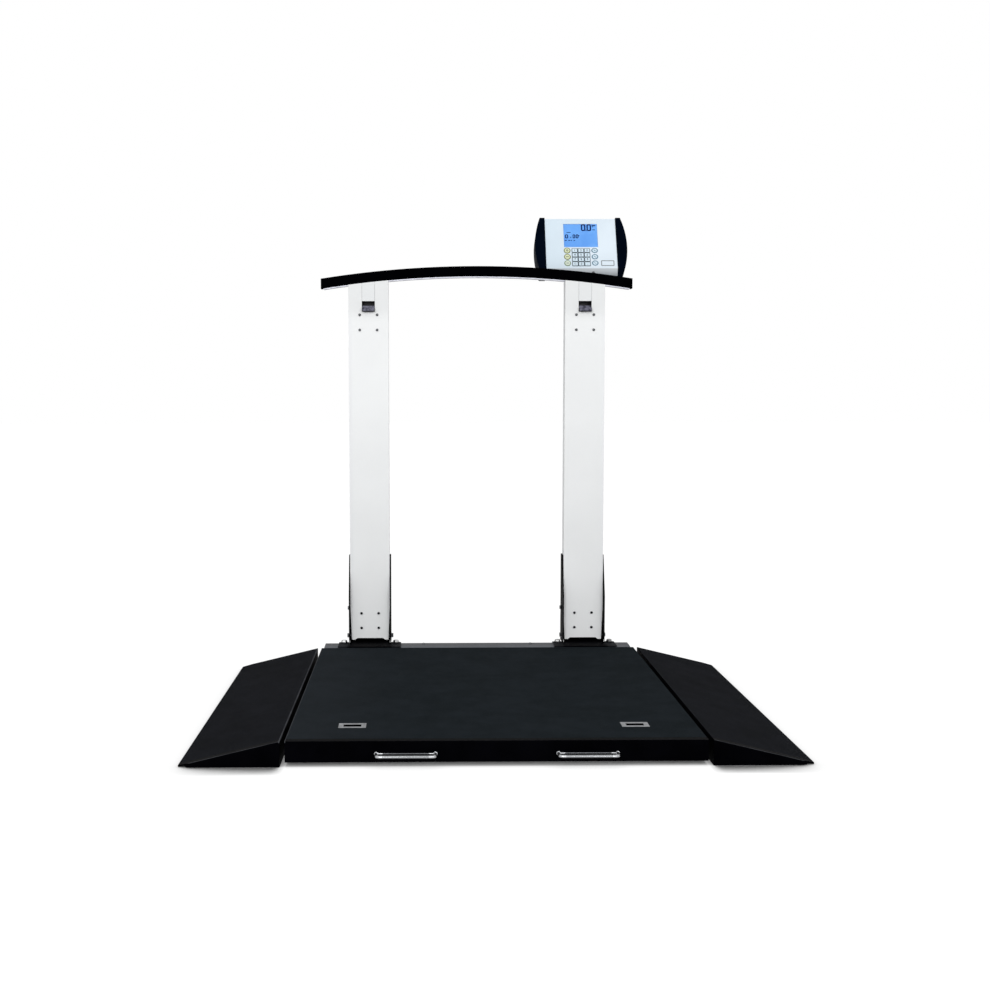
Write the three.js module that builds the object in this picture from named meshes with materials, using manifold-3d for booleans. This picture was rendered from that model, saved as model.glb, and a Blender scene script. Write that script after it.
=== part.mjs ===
// Wheelchair scale: a low weighing platform with two side ramps and a frame of two columns and an arched
// handrail, which folds forward onto the platform and carries the weight indicator.
// Millimetres, X to the right, Y to the rear, Z up. The floor is z = 0.
import * as THREE from "three";
import { mergeVertices } from "three/addons/utils/BufferGeometryUtils.js";
import Module from "manifold-3d";

const wasm = await Module();
wasm.setup();

// Gaps that several pieces share
const seatGap = 0.3; // between two pieces that rest on each other
const slideGap = 0.5; // round a piece that slides or turns in another
const overrun = 6; // how far a cut runs past what it cuts
const weld = 1; // how far two joined shapes reach into each other

// Platform deck
const deckWidth = 914;
const deckDepth = 1016;
const deckTop = 57;
const deckPlate = 4;
const skirtPlate = 3;
const skirtHeight = 46.5;
const ribWidth = 36;
const ribDrop = 20;
const ribPlate = 3;
const ribEndSpace = 14;
const ribInnerShare = 0.1; // of the deck's width, from its middle
const ribOuterShare = 0.25;

// Load cells, feet and junction box under the deck
const cellWidth = 28;
const cellLength = 118;
const cellHeight = 20;
const cellBottom = 23;
const cellBore = 6;
const cellBoreSpacing = 24;
const cellPadLength = 36;
const footInsetX = 70;
const footInsetY = 80;
const footPadRadius = 22;
const footPadHeight = 8;
const footPadEdge = 2;
const footNeckRadius = 9;
const footStudRadius = 6;
const footNutRadius = 10;
const footNutHeight = 6;
const footNutSpace = 3;
const boxWidth = 110;
const boxDepth = 80;
const boxHeight = 24;
const boxInset = 178; // from the rear of the deck to the middle of the box
const glandRadius = 6;
const glandLength = 10;
const glandSpacing = 40;

// Rail along the deck's rear edge, with the ears and axles of the transport wheels
const railDepth = 72;
const railGap = 0.6;
const railInset = 6;
const railPlate = 3;
const railSlopeDepth = 32;
const railSlopeDrop = 2.5;
const wheelInset = 21; // from the end of the rail to the middle of a wheel
const wheelRadius = 21;
const wheelWidth = 22;
const wheelHubRadius = 9.5;
const wheelHubSink = 3;
const wheelTyre = 6;
const wheelBore = 5.5;
const wheelBehindRail = 30;
const wheelCentreZ = 29;
const axleRadius = 5;
const earPlate = 3;
const earRim = 10;
const earSpace = 1.2;

// Ramps
const rampRun = 220;
const rampGap = 11;
const rampTip = 4;
const rampWall = 3;
const rampEndStop = 8;
const rampCornerWidth = 26; // of the cut at the two corners of the toe
const rampCornerDepth = 8;
const rampRibY = 170;
const hookY = 300;
const hookWidth = 40;
const hookPlate = 4;
const hookBottom = 24;
const hookLip = 10;
const hookLift = 12;
const hookSideSpace = 3;

// Front handles
const handleWidth = 127.5;
const handlePlaceShare = 0.2147; // of the deck's width, from its middle
const handleReach = 28;
const handleRadius = 3.3;
const handleRodRadius = 1.6;
const handleCorner = 9;
const handleZ = 29.5;
const handleFootRadius = 4.4;
const handleFootPlate = 2.5;

// Columns
const columnInset = 139; // from the side of the deck to the middle of a column
const columnWidth = 117;
const columnDepth = 45;
const columnWall = 2;
const columnBehindDeck = 75;
const columnBottom = 67;
const columnNeck = 4; // how much narrower each side is at the foot
const columnNeckTop = 165;
const footCutWidth = 90;
const footCutTopWidth = 75;
const footCutHeight = 5;
const windowWidth = 38;
const windowHeight = 31;
const windowBelowNeck = 6;

// Column brackets
const bracketPlate = 3;
const bracketSideGap = 0.8;
const bracketAhead = 70; // reach of the base plate ahead of the rail's rear edge
const bracketEarReach = 30;
const bracketEarDepth = 70;
const bracketTop = 319;
const bracketTopDepth = 35;
const bracketTaperZ = 200;
const bracketFootAhead = 23; // reach of the side flanges ahead of the column
const bracketApron = 36;
const webBottom = 130;
const footSwingSpace = 2.1; // behind the column, for its foot when it folds
const webOverlap = 4;

// Pivot bolts and lock pins
const pivotZ = 78;
const pivotBehindFace = 12;
const pivotRadius = 4;
const pivotHeadRadius = 6.5;
const pivotHead = 5;
const pivotWasherRadius = 7.8;
const pivotWasher = 1.2;
const lockZ = 159.5;
const lockBehindFace = 22;
const lockRadius = 4;
const lockBoss = 1.5;
const lockBossRadius = 6;
const lockKnob = 3.5;
const lockKnobRadius = 5.5;

// Screws that hold the plates inside the columns
const screwHeadRadius = 3.6;
const screwHead = 1.8;
const screwRadius = 2;
const screwHole = 2.6;
const screwSpacing = 51;

// Lock blocks inside the foot of the columns
const lockPlate = 3;
const lockPlateWidth = 74;
const lockPlateBottom = 90;
const lockPlateTop = 180;
const lockScrewLow = 103;
const lockScrewHigh = 147;
const lockArmDepth = 34;

// Latches inside the head of the columns
const latchPlate = 2;
const latchPlateWidth = 74;
const latchPlateBelowNeck = 71;
const latchPlateAboveNeck = 62;
const latchScrewsBelowNeck = 15;
const latchScrewDrop = 44; // from the upper screws to the lower ones
const tongueGap = 0.5;
const hookPlateThickness = 3;
const hookBodyWidth = 36;
const hookBodyBelowNeck = 46;
const hookBodyAboveNeck = 12;
const hookNeck = 5;
const hookNose = 7; // how far the nose hangs below the neck
const hookNoseThickness = 4.5;
const hookChamfer = 3;
const hookReach = 15; // from the column's face
const latchTravel = 6;
const latchSlotSpace = 3.5;
const latchSideSpace = 2;
const guideBelowNeck = 26;
const guideHeight = 16;
const guideWall = 3;

// Strike plates in the deck
const strikeInset = 130; // from the front of the deck to the middle of a strike plate
const strikeWidth = 62;
const strikeDepth = 41;
const strikePlate = 1.5;
const strikeProud = 0.2;
const strikeEdgeSpace = 0.5;
const deckSlotSide = 3;
const deckSlotEnd = 6;
const catchWall = 2;
const catchBottom = 28;

// Handrail
const gripEndSpace = 0; // between the ends of the grip and the sides of the deck, seen from the front
const gripAboveNeck = 97.25; // its underside at mid length
const gripRise = 36;
const gripHeight = 29.5;
const gripDepth = 40;
const gripAhead = 2; // of the columns' front face
const gripEdge = 5;
const stripPlate = 3;
const stripDepth = 26;
const stripEndSpace = 8;
const stripBehindGripFace = 7;
const archSteps = 24;

// Weight indicator, in its own frame: x across, y into the case, z up the face from the face's lower edge
const indicatorInset = 2.5; // from the middle of the right column towards the middle of the object
const indicatorBehindGrip = 19;
const indicatorAboveGrip = 27.75; // from the grip's underside at mid length
const faceTilt = 25; // degrees back from upright
const faceWidth = 212;
const faceHeight = 170;
const lipHeight = 24;
const lipDepth = 18;
const rearDrop = 7; // of the lower rear edge below the face
const caseTopDepth = 42;
const caseDepth = 55;
const caseSplit = 26;
const caseWall = 2.5;
const capEnd = 15;
const capBulge = 31.7;
const capProud = 3;
const capRise = 5; // of its flat underside above the profile's lowest point
const capWall = 3;
const capSteps = 12;
const lugHalfWidth = 25;
const lugRadius = 8.5;
const lugDrop = 10; // of the tilt bolt below the case
const lugY = 38;
const tiltBoltRadius = 4;
const tiltHeadRadius = 7;
const tiltHead = 5;
const tiltKnobRadius = 8.4;
const tiltKnob = 10;

// Indicator bracket
const carrierPlate = 3;
const carrierBelowBolt = 84;
const carrierBelowBoltTop = 22;
const carrierHalfWidth = 42;
const carrierEarDrop = 58; // of the ears' lower edge at the column, below the tilt bolt

// Display and circuit board
const windowGap = 0.4;
const displayWidthShare = 0.476; // of the face's width
const displayHeightShare = 0.466; // of the face's height, as the next one
const displayBottomShare = 0.43;
const displaySink = 0.8;
const displayFrame = 2.5;
const boardY = 6;
const boardPlate = 1.6;
const boardEndSpace = 8.5;
const boardBottom = 3;
const boardTopSpace = 10;
const postWidth = 6;
const postInsetX = 8;
const postInsetZ = 6;

// Keys
const keyProud = 1;
const keyTravel = 0.8;
const keyFlange = 1;
const keyFlangeReach = 0.8;
const keyStem = 1.2;
const keyStemWidth = 5;
const keySpace = 2.5; // between two number keys
const keypadShift = -1.4; // of the keys from the middle of the face
const numberColumnShare = 0.0868; // pitch of the number keys, of the face's width
const numberRowShare = 0.09; // pitch of the number keys, of the face's height, as the next four
const numberStartShare = 0.0871;
const functionRowShare = 0.1265;
const functionStartShare = 0.103;
const functionRadiusShare = 0.047;
const functionPlaceShare = 0.1935; // of the face's width, from the middle of the keys
const ovalShare = 1.15;

// Numbers of flats on round shapes
const smallRound = 12;
const round = 16;
const wheelRound = 28;
const hexagon = 6;
const handleSteps = 44;
const gripEdgeSteps = 2;

// Places worked out from the sizes above
const deckSide = deckWidth / 2;
const deckRear = deckDepth / 2;
const deckFront = -deckRear;
const boxY = deckRear - boxInset;
const deckUnder = deckTop - deckPlate;
const skirtBottom = deckTop - skirtHeight;
const railFront = deckRear + railGap;
const railRear = deckRear + railDepth;
const railSide = deckSide - railInset;
const wheelX = railSide - wheelInset;
const handleX = deckWidth * handlePlaceShare;
const rampInner = deckSide + rampGap;
const rampOuter = rampInner + rampRun;
const columnHalf = columnWidth / 2;
const columnX = deckSide - columnInset;
const columnFront = deckRear + columnBehindDeck;
const columnRear = columnFront + columnDepth;
const pivotY = columnFront + pivotBehindFace;
const lockY = columnFront + lockBehindFace;
const flangeInner = columnHalf + bracketSideGap;
const flangeOuter = flangeInner + bracketPlate;
const baseBottom = deckTop + seatGap;
const baseTop = baseBottom + bracketPlate;
const baseFront = railRear - bracketAhead;
const webFront = columnRear + seatGap;
const webRear = webFront + bracketPlate;
const lowWebFront = webFront + footSwingSpace;
const lowWebRear = lowWebFront + bracketPlate;
const plateFront = columnFront + columnWall + seatGap;
const latchPlateRear = plateFront + latchPlate;
const hookPlateFront = latchPlateRear + seatGap;
const hookPlateRear = hookPlateFront + hookPlateThickness;
const gripFront = columnFront - gripAhead;
const gripRear = gripFront + gripDepth;
const gripHalf = deckSide - gripEndSpace;
const archRadius = (gripHalf * gripHalf + gripRise * gripRise) / (2 * gripRise);
const stripFront = gripFront + stripBehindGripFace;
// The neck of the hook is as high as it has to be to come down on the slot when the frame is folded flat.
const strikeY = deckFront + strikeInset;
const neckBottom = pivotY + pivotZ - strikeY - (hookNeck + latchTravel) / 2;
const windowBottom = neckBottom - windowBelowNeck;
const windowTop = windowBottom + windowHeight;
const latchPlateBottom = neckBottom - latchPlateBelowNeck;
const latchPlateTop = neckBottom + latchPlateAboveNeck;
const latchScrewHigh = neckBottom - latchScrewsBelowNeck;
const latchScrewLow = latchScrewHigh - latchScrewDrop;
const guideTop = neckBottom - guideBelowNeck;
const guideBottom = guideTop - guideHeight;
const gripUnder = neckBottom + gripAboveNeck;
const strikeSlotDepth = hookNeck + latchTravel + 2 * latchSlotSpace;
const strikeSlotWidth = hookBodyWidth + 2 * latchSideSpace;
const strikeTop = deckTop + strikeProud;
const strikeBottom = strikeTop - strikePlate;
const indicatorX = columnX - indicatorInset;
const indicatorY = gripRear + indicatorBehindGrip;
const indicatorZ = gripUnder + indicatorAboveGrip;
const tilt = THREE.MathUtils.degToRad(faceTilt);
const faceHalf = faceWidth / 2;
const caseBottomAt = (y) => -lipHeight + ((y - lipDepth) * (lipHeight - rearDrop)) / (caseDepth - lipDepth);
const lugZ = caseBottomAt(lugY) - lugDrop;
const tiltPivotY = indicatorY + lugY * Math.cos(tilt) + lugZ * Math.sin(tilt);
const tiltPivotZ = indicatorZ + lugZ * Math.cos(tilt) - lugY * Math.sin(tilt);
const carrierBottom = tiltPivotZ - carrierBelowBolt;
const carrierTop = tiltPivotZ - carrierBelowBoltTop;
const carrierEarBottom = tiltPivotZ - carrierEarDrop;
const earInner = lugHalfWidth + slideGap;
const earOuter = earInner + carrierPlate;

const displayWidth = faceWidth * displayWidthShare;
const displayHeight = faceHeight * displayHeightShare;
const displayBottom = faceHeight * displayBottomShare;
const boardWidth = faceWidth - 2 * boardEndSpace;
const boardTop = faceHeight - boardTopSpace;
const numberPitchX = faceWidth * numberColumnShare;
const numberPitchZ = faceHeight * numberRowShare;
const numberKeyWidth = numberPitchX - keySpace;
const numberKeyHeight = numberPitchZ - keySpace;
const functionKeyRadius = faceHeight * functionRadiusShare;

// Colours and surfaces
function finish(color, roughness, metalness) {
  return new THREE.MeshStandardMaterial({ color, roughness, metalness });
}
const deckBlack = () => finish(0x1b1e23, 0.75, 0.2);
const frameBlack = () => finish(0x101113, 0.5, 0.3);
const whiteCoat = () => finish(0xe6e7e6, 0.45, 0.1);
const greySteel = () => finish(0x7b7e82, 0.4, 0.8);
const brightSteel = () => finish(0xb9bcbf, 0.25, 1);
const rubberBlack = () => finish(0x161616, 0.85, 0);
const capNavy = () => finish(0x0b1020, 0.4, 0);
const caseWhite = () => finish(0xdfe8ee, 0.45, 0);
const displayBlue = () => finish(0x6aa8f5, 0.2, 0);

// A closed geometry as a solid that can be joined and cut.
function solid(geometry) {
  const plain = geometry.index ? geometry.toNonIndexed() : geometry.clone();
  plain.deleteAttribute("normal");
  plain.deleteAttribute("uv");
  const merged = mergeVertices(plain);
  const vertProperties = merged.attributes.position.array;
  const triVerts = new Uint32Array(merged.index.array);
  return new wasm.Manifold(new wasm.Mesh({ numProp: 3, vertProperties, triVerts }));
}

function mesh(name, shape, material, parent) {
  const made = shape.getMesh();
  const geometry = new THREE.BufferGeometry();
  geometry.setAttribute("position", new THREE.BufferAttribute(new Float32Array(made.vertProperties), 3));
  geometry.setIndex(new THREE.BufferAttribute(new Uint32Array(made.triVerts), 1));
  geometry.computeVertexNormals();
  const piece = new THREE.Mesh(geometry, material);
  piece.name = name;
  parent.add(piece);
  return piece;
}

const joined = (...shapes) => shapes.reduce((sum, shape) => sum.add(shape));
const cutBy = (shape, ...cuts) => cuts.reduce((rest, cut) => rest.subtract(cut), shape);

// A box between two values on each axis.
function block([x0, x1], [y0, y1], [z0, z1]) {
  const box = new THREE.BoxGeometry(Math.abs(x1 - x0), Math.abs(y1 - y0), Math.abs(z1 - z0));
  return solid(box.translate((x0 + x1) / 2, (y0 + y1) / 2, (z0 + z1) / 2));
}

const outline = (points) => new THREE.Shape(points.map(([a, b]) => new THREE.Vector2(a, b)));

// An outline in x and z, drawn out along y.
function alongY(points, from, to) {
  const drawn = new THREE.ExtrudeGeometry(outline(points), { depth: to - from, bevelEnabled: false });
  return solid(drawn.rotateX(Math.PI / 2).translate(0, to, 0));
}

// An outline in x and y, drawn up along z.
function alongZ(points, from, to) {
  const drawn = new THREE.ExtrudeGeometry(outline(points), { depth: to - from, bevelEnabled: false });
  return solid(drawn.translate(0, 0, from));
}

// An outline in y and z, drawn out along x.
function alongX(points, from, to) {
  const low = Math.min(from, to);
  const depth = Math.abs(to - from);
  const drawn = new THREE.ExtrudeGeometry(outline(points), { depth, bevelEnabled: false });
  return solid(drawn.rotateX(Math.PI / 2).rotateZ(Math.PI / 2).translate(low, 0, 0));
}

// A round bar between two values on one axis; the two centre values are on the other axes, in x, y, z order.
function bar(axis, radius, from, to, first, second, flats = round) {
  const cylinder = new THREE.CylinderGeometry(radius, radius, Math.abs(to - from), flats);
  const middle = (from + to) / 2;
  if (axis === "x") return solid(cylinder.rotateZ(Math.PI / 2).translate(middle, first, second));
  if (axis === "y") return solid(cylinder.translate(first, middle, second));
  return solid(cylinder.rotateX(Math.PI / 2).translate(first, second, middle));
}

// A profile of radii and heights, turned round z.
function turned(profile, flats) {
  const points = profile.map(([r, z]) => new THREE.Vector2(r, z));
  return solid(new THREE.LatheGeometry(points, flats).rotateX(Math.PI / 2));
}

const sides = [
  [-1, "left"],
  [1, "right"],
];

const object = new THREE.Group();

// Deck: top plate and skirts, with ribs and load cell pads welded underneath
function platformDeck() {
  const pan = cutBy(
    block([-deckSide, deckSide], [deckFront, deckRear], [skirtBottom, deckTop]),
    block(
      [skirtPlate - deckSide, deckSide - skirtPlate],
      [deckFront + skirtPlate, deckRear - skirtPlate],
      [skirtBottom - overrun, deckUnder],
    ),
  );
  const ribEnd = deckRear - skirtPlate - ribEndSpace;
  const ribHalf = ribWidth / 2;
  const ribs = [-ribOuterShare, -ribInnerShare, ribInnerShare, ribOuterShare].map((share) => {
    const x = share * deckWidth;
    return cutBy(
      block([x - ribHalf, x + ribHalf], [-ribEnd, ribEnd], [deckUnder - ribDrop, deckUnder + weld]),
      block(
        [x - ribHalf + ribPlate, x + ribHalf - ribPlate],
        [-ribEnd - overrun, ribEnd + overrun],
        [deckUnder - ribDrop - overrun, deckUnder],
      ),
    );
  });
  const pads = corners().map(({ x, padY }) =>
    block(
      [x - cellWidth / 2, x + cellWidth / 2],
      [padY - cellPadLength / 2, padY + cellPadLength / 2],
      [cellBottom + cellHeight + seatGap, deckUnder + weld],
    ),
  );
  const cuts = sides.flatMap(([side]) => {
    const x = side * columnX;
    const pocketHalfX = strikeWidth / 2 + strikeEdgeSpace;
    const pocketHalfY = strikeDepth / 2 + strikeEdgeSpace;
    const slotHalfX = strikeSlotWidth / 2 + deckSlotSide;
    const slotHalfY = strikeSlotDepth / 2 + deckSlotEnd;
    const hookHalf = hookWidth / 2 + hookSideSpace;
    const hookTop = hookBottom + hookPlate + hookLift + hookPlate;
    return [
      block(
        [x - pocketHalfX, x + pocketHalfX],
        [strikeY - pocketHalfY, strikeY + pocketHalfY],
        [strikeBottom - seatGap, deckTop + overrun],
      ),
      block(
        [x - slotHalfX, x + slotHalfX],
        [strikeY - slotHalfY, strikeY + slotHalfY],
        [deckUnder - overrun, deckTop + overrun],
      ),
      ...[-hookY, hookY].map((y) =>
        block(
          [side * (deckSide - skirtPlate - overrun), side * (deckSide + overrun)],
          [y - hookHalf, y + hookHalf],
          [hookBottom - hookPlate, hookTop],
        ),
      ),
    ];
  });
  const catches = sides.flatMap(([side]) => {
    const x = side * columnX;
    const halfX = strikeSlotWidth / 2 + deckSlotSide;
    const halfY = strikeSlotDepth / 2 + deckSlotEnd;
    const box = (wall, span) =>
      block([x - halfX - wall, x + halfX + wall], [strikeY - halfY - wall, strikeY + halfY + wall], span);
    return cutBy(
      box(catchWall, [catchBottom, deckUnder + weld]),
      box(0, [catchBottom + catchWall, deckUnder + overrun]),
    );
  });
  mesh("platform_deck", cutBy(joined(pan, ...ribs, ...pads, ...catches), ...cuts), deckBlack(), object);
}

// Where the feet and load cells lie, one entry per corner.
function corners() {
  return [
    [-1, -1, "front_left"],
    [1, -1, "front_right"],
    [-1, 1, "rear_left"],
    [1, 1, "rear_right"],
  ].map(([sideX, sideY, name]) => {
    const footY = sideY * (deckRear - footInsetY);
    const outerY = footY + sideY * (cellWidth / 2);
    const innerY = outerY - sideY * cellLength;
    const padY = innerY + (sideY * cellPadLength) / 2;
    return { name, x: sideX * (deckSide - footInsetX), footY, outerY, innerY, padY };
  });
}

function loadCell({ name, x, outerY, innerY }) {
  const middle = (outerY + innerY) / 2;
  const z = cellBottom + cellHeight / 2;
  const half = cellWidth / 2;
  const beam = block([x - half, x + half], [innerY, outerY], [cellBottom, cellBottom + cellHeight]);
  const bores = [-1, 1].map((end) =>
    bar("x", cellBore, x - half - overrun, x + half + overrun, middle + (end * cellBoreSpacing) / 2, z),
  );
  mesh("load_cell_" + name, cutBy(beam, ...bores), brightSteel(), object);
}

function levellingFoot({ name, x, footY }) {
  const nutBottom = footPadHeight + footNutSpace;
  const profile = [
    [0, 0],
    [footPadRadius - footPadEdge, 0],
    [footPadRadius, footPadEdge],
    [footPadRadius, footPadHeight / 2],
    [footNeckRadius, footPadHeight],
    [footStudRadius, footPadHeight],
    [footStudRadius, nutBottom],
    [footNutRadius, nutBottom],
    [footNutRadius, nutBottom + footNutHeight],
    [footStudRadius, nutBottom + footNutHeight],
    [footStudRadius, cellBottom - seatGap],
    [0, cellBottom - seatGap],
  ];
  const piece = mesh("levelling_foot_" + name, turned(profile, round), greySteel(), object);
  piece.position.set(x, footY, 0);
}

function junctionBox() {
  const top = deckUnder - seatGap;
  const z = top - boxHeight / 2;
  const half = boxWidth / 2;
  const box = block([-half, half], [boxY - boxDepth / 2, boxY + boxDepth / 2], [top - boxHeight, top]);
  const glands = sides.flatMap(([side]) =>
    [-1, 1].map((end) => {
      const y = boxY + (end * glandSpacing) / 2;
      return bar("x", glandRadius, side * (half - weld), side * (half + glandLength), y, z, smallRound);
    }),
  );
  mesh("junction_box", joined(box, ...glands), rubberBlack(), object);
}

function strikePlateIn(side, name) {
  const x = side * columnX;
  const plate = block(
    [x - strikeWidth / 2, x + strikeWidth / 2],
    [strikeY - strikeDepth / 2, strikeY + strikeDepth / 2],
    [strikeBottom, strikeTop],
  );
  const slot = block(
    [x - strikeSlotWidth / 2, x + strikeSlotWidth / 2],
    [strikeY - strikeSlotDepth / 2, strikeY + strikeSlotDepth / 2],
    [strikeBottom - overrun, strikeTop + overrun],
  );
  mesh("strike_plate_" + name, cutBy(plate, slot), greySteel(), object);
}

// Rail: a channel open below, whose front half falls a little towards the deck
function rearRail() {
  const shell = alongX(
    [
      [railFront, skirtBottom],
      [railRear, skirtBottom],
      [railRear, deckTop],
      [railFront + railSlopeDepth, deckTop],
      [railFront, deckTop - railSlopeDrop],
    ],
    -railSide,
    railSide,
  );
  const hollow = alongX(
    [
      [railFront + railPlate, skirtBottom - overrun],
      [railRear - railPlate, skirtBottom - overrun],
      [railRear - railPlate, deckTop - railPlate],
      [railFront + railSlopeDepth, deckTop - railPlate],
      [railFront + railPlate, deckTop - railPlate - railSlopeDrop],
    ],
    railPlate - railSide,
    railSide - railPlate,
  );
  const axleY = railRear + wheelBehindRail;
  const earIn = wheelWidth / 2 + earSpace;
  const earOut = earIn + earPlate;
  const mounts = sides.flatMap(([side]) => {
    const x = side * wheelX;
    const ears = [-1, 1].map((end) =>
      joined(
        block(
          [x + end * earIn, x + end * earOut],
          [railRear - weld, axleY],
          [wheelCentreZ - earRim, wheelCentreZ + earRim],
        ),
        bar("x", earRim, x + end * earIn, x + end * earOut, axleY, wheelCentreZ),
      ),
    );
    return [...ears, bar("x", axleRadius, x - earOut, x + earOut, axleY, wheelCentreZ)];
  });
  mesh("rear_rail", joined(cutBy(shell, hollow), ...mounts), greySteel(), object);
}

function transportWheel(side, name) {
  const half = wheelWidth / 2;
  const edge = wheelHubSink;
  const ring = wheelRadius - wheelTyre;
  const profile = [
    [wheelBore, -half],
    [wheelHubRadius, -half],
    [wheelHubRadius, edge - half],
    [ring, edge - half],
    [ring, -half],
    [wheelRadius - edge, -half],
    [wheelRadius, edge - half],
    [wheelRadius, half - edge],
    [wheelRadius - edge, half],
    [ring, half],
    [ring, half - edge],
    [wheelHubRadius, half - edge],
    [wheelHubRadius, half],
    [wheelBore, half],
    [wheelBore, -half],
  ];
  const piece = mesh("transport_wheel_" + name, turned(profile, wheelRound), rubberBlack(), object);
  piece.rotation.y = Math.PI / 2;
  piece.position.set(side * wheelX, railRear + wheelBehindRail, wheelCentreZ);
}

// Ramp: a sloping plate on an inner wall, two end plates and two ribs, with hooks through the deck's skirt
function ramp(side, name) {
  const fall = (deckTop - rampTip) / rampRun;
  const endX = rampOuter - rampEndStop;
  const mirrored = (points) => points.map(([x, z]) => [side * x, z]);
  const plate = alongY(
    mirrored([
      [rampInner, deckTop],
      [rampOuter, rampTip],
      [rampOuter, 0],
      [rampInner, deckTop - rampTip],
    ]),
    deckFront,
    deckRear,
  );
  const wedge = mirrored([
    [rampInner, 0],
    [endX, 0],
    [endX, deckTop - fall * (endX - rampInner) - rampTip / 2],
    [rampInner, deckTop - rampTip / 2],
  ]);
  const wedges = [
    [deckFront, deckFront + rampWall],
    [-rampRibY - rampWall, -rampRibY],
    [rampRibY, rampRibY + rampWall],
    [deckRear - rampWall, deckRear],
  ].map(([from, to]) => alongY(wedge, from, to));
  const wall = block(
    [side * rampInner, side * (rampInner + rampWall)],
    [deckFront, deckRear],
    [0, deckTop - rampTip / 2],
  );
  const lipOuter = deckSide - skirtPlate - 2 * seatGap;
  const lipInner = lipOuter - hookPlate;
  const hooks = [-hookY, hookY].map((y) => {
    const span = [y - hookWidth / 2, y + hookWidth / 2];
    return joined(
      block([side * lipInner, side * (rampInner + weld)], span, [hookBottom, hookBottom + hookPlate]),
      block([side * lipInner, side * lipOuter], span, [hookBottom - hookLip, hookBottom + weld]),
    );
  });
  const plan = mirrored([
    [rampInner, deckFront],
    [rampOuter - rampCornerWidth, deckFront],
    [rampOuter, deckFront + rampCornerDepth],
    [rampOuter, deckRear - rampCornerDepth],
    [rampOuter - rampCornerWidth, deckRear],
    [rampInner, deckRear],
  ]);
  const body = joined(plate, wall, ...wedges).intersect(alongZ(plan, -overrun, deckTop + overrun));
  mesh("ramp_" + name, joined(body, ...hooks), deckBlack(), object);
}

// Handle: a round bar bent to a flat U, on two small feet with a thin rod between them
function frontHandle(side, name) {
  const x = side * handleX;
  const half = handleWidth / 2;
  const back = deckFront - seatGap - handleFootPlate + weld;
  const out = deckFront - handleReach;
  const at = (px, py) => new THREE.Vector3(px, py, handleZ);
  const path = new THREE.CurvePath();
  path.add(new THREE.LineCurve3(at(x - half, back), at(x - half, out + handleCorner)));
  path.add(new THREE.QuadraticBezierCurve3(
    at(x - half, out + handleCorner),
    at(x - half, out),
    at(x - half + handleCorner, out),
  ));
  path.add(new THREE.LineCurve3(at(x - half + handleCorner, out), at(x + half - handleCorner, out)));
  path.add(new THREE.QuadraticBezierCurve3(
    at(x + half - handleCorner, out),
    at(x + half, out),
    at(x + half, out + handleCorner),
  ));
  path.add(new THREE.LineCurve3(at(x + half, out + handleCorner), at(x + half, back)));
  const ring = Array.from({ length: smallRound }, (_, i) => {
    const turn = (2 * Math.PI * i) / smallRound;
    return [handleRadius * Math.cos(turn), handleRadius * Math.sin(turn)];
  });
  const tube = new THREE.ExtrudeGeometry(outline(ring), {
    steps: handleSteps,
    extrudePath: path,
    bevelEnabled: false,
  });
  const face = deckFront - seatGap;
  const feet = [-half, half].map((dx) =>
    bar("y", handleFootRadius, face - handleFootPlate, face, x + dx, handleZ),
  );
  const rod = bar("x", handleRodRadius, x - half, x + half, face - handleRodRadius, handleZ, smallRound);
  mesh("front_handle_" + name, joined(solid(tube), ...feet, rod), brightSteel(), object);
}

// Places along the arched handrail: height of the grip's underside at x.
const archAt = (x) => gripUnder - archRadius + Math.sqrt(archRadius * archRadius - x * x);

// Points of a band that follows the arch, between two heights over the grip's underside.
function archBand(half, low, high) {
  const across = Array.from({ length: archSteps + 1 }, (_, i) => half * ((2 * i) / archSteps - 1));
  const under = across.map((x) => [x, archAt(x) + low]);
  const over = across.map((x) => [x, archAt(x) + high]).reverse();
  return [...under, ...over];
}

const stripHalf = gripHalf - stripEndSpace;

function handrail() {
  const depth = gripDepth - 2 * gripEdge;
  const drawn = new THREE.ExtrudeGeometry(outline(archBand(gripHalf, 0, gripHeight)), {
    depth,
    bevelThickness: gripEdge,
    bevelSize: gripEdge,
    bevelOffset: -gripEdge,
    bevelSegments: gripEdgeSteps,
  });
  const grip = solid(drawn.rotateX(Math.PI / 2).translate(0, gripRear - gripEdge, 0));
  mesh("handrail_grip", grip, rubberBlack(), object);
  const stripBand = archBand(stripHalf, -seatGap - stripPlate, -seatGap);
  const strip = alongY(stripBand, stripFront, stripFront + stripDepth);
  mesh("handrail_strip", strip, brightSteel(), object);
}

// Everything from just under the handrail upwards, which cuts the heads of the columns and latch tongues.
function overColumns() {
  const gripLine = archBand(gripHalf, -seatGap, 0).slice(0, archSteps + 1);
  const top = gripUnder + overrun;
  const points = [...gripLine, [gripHalf, top], [-gripHalf, top]];
  return alongY(points, columnFront - overrun, columnRear + overrun);
}

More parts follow.
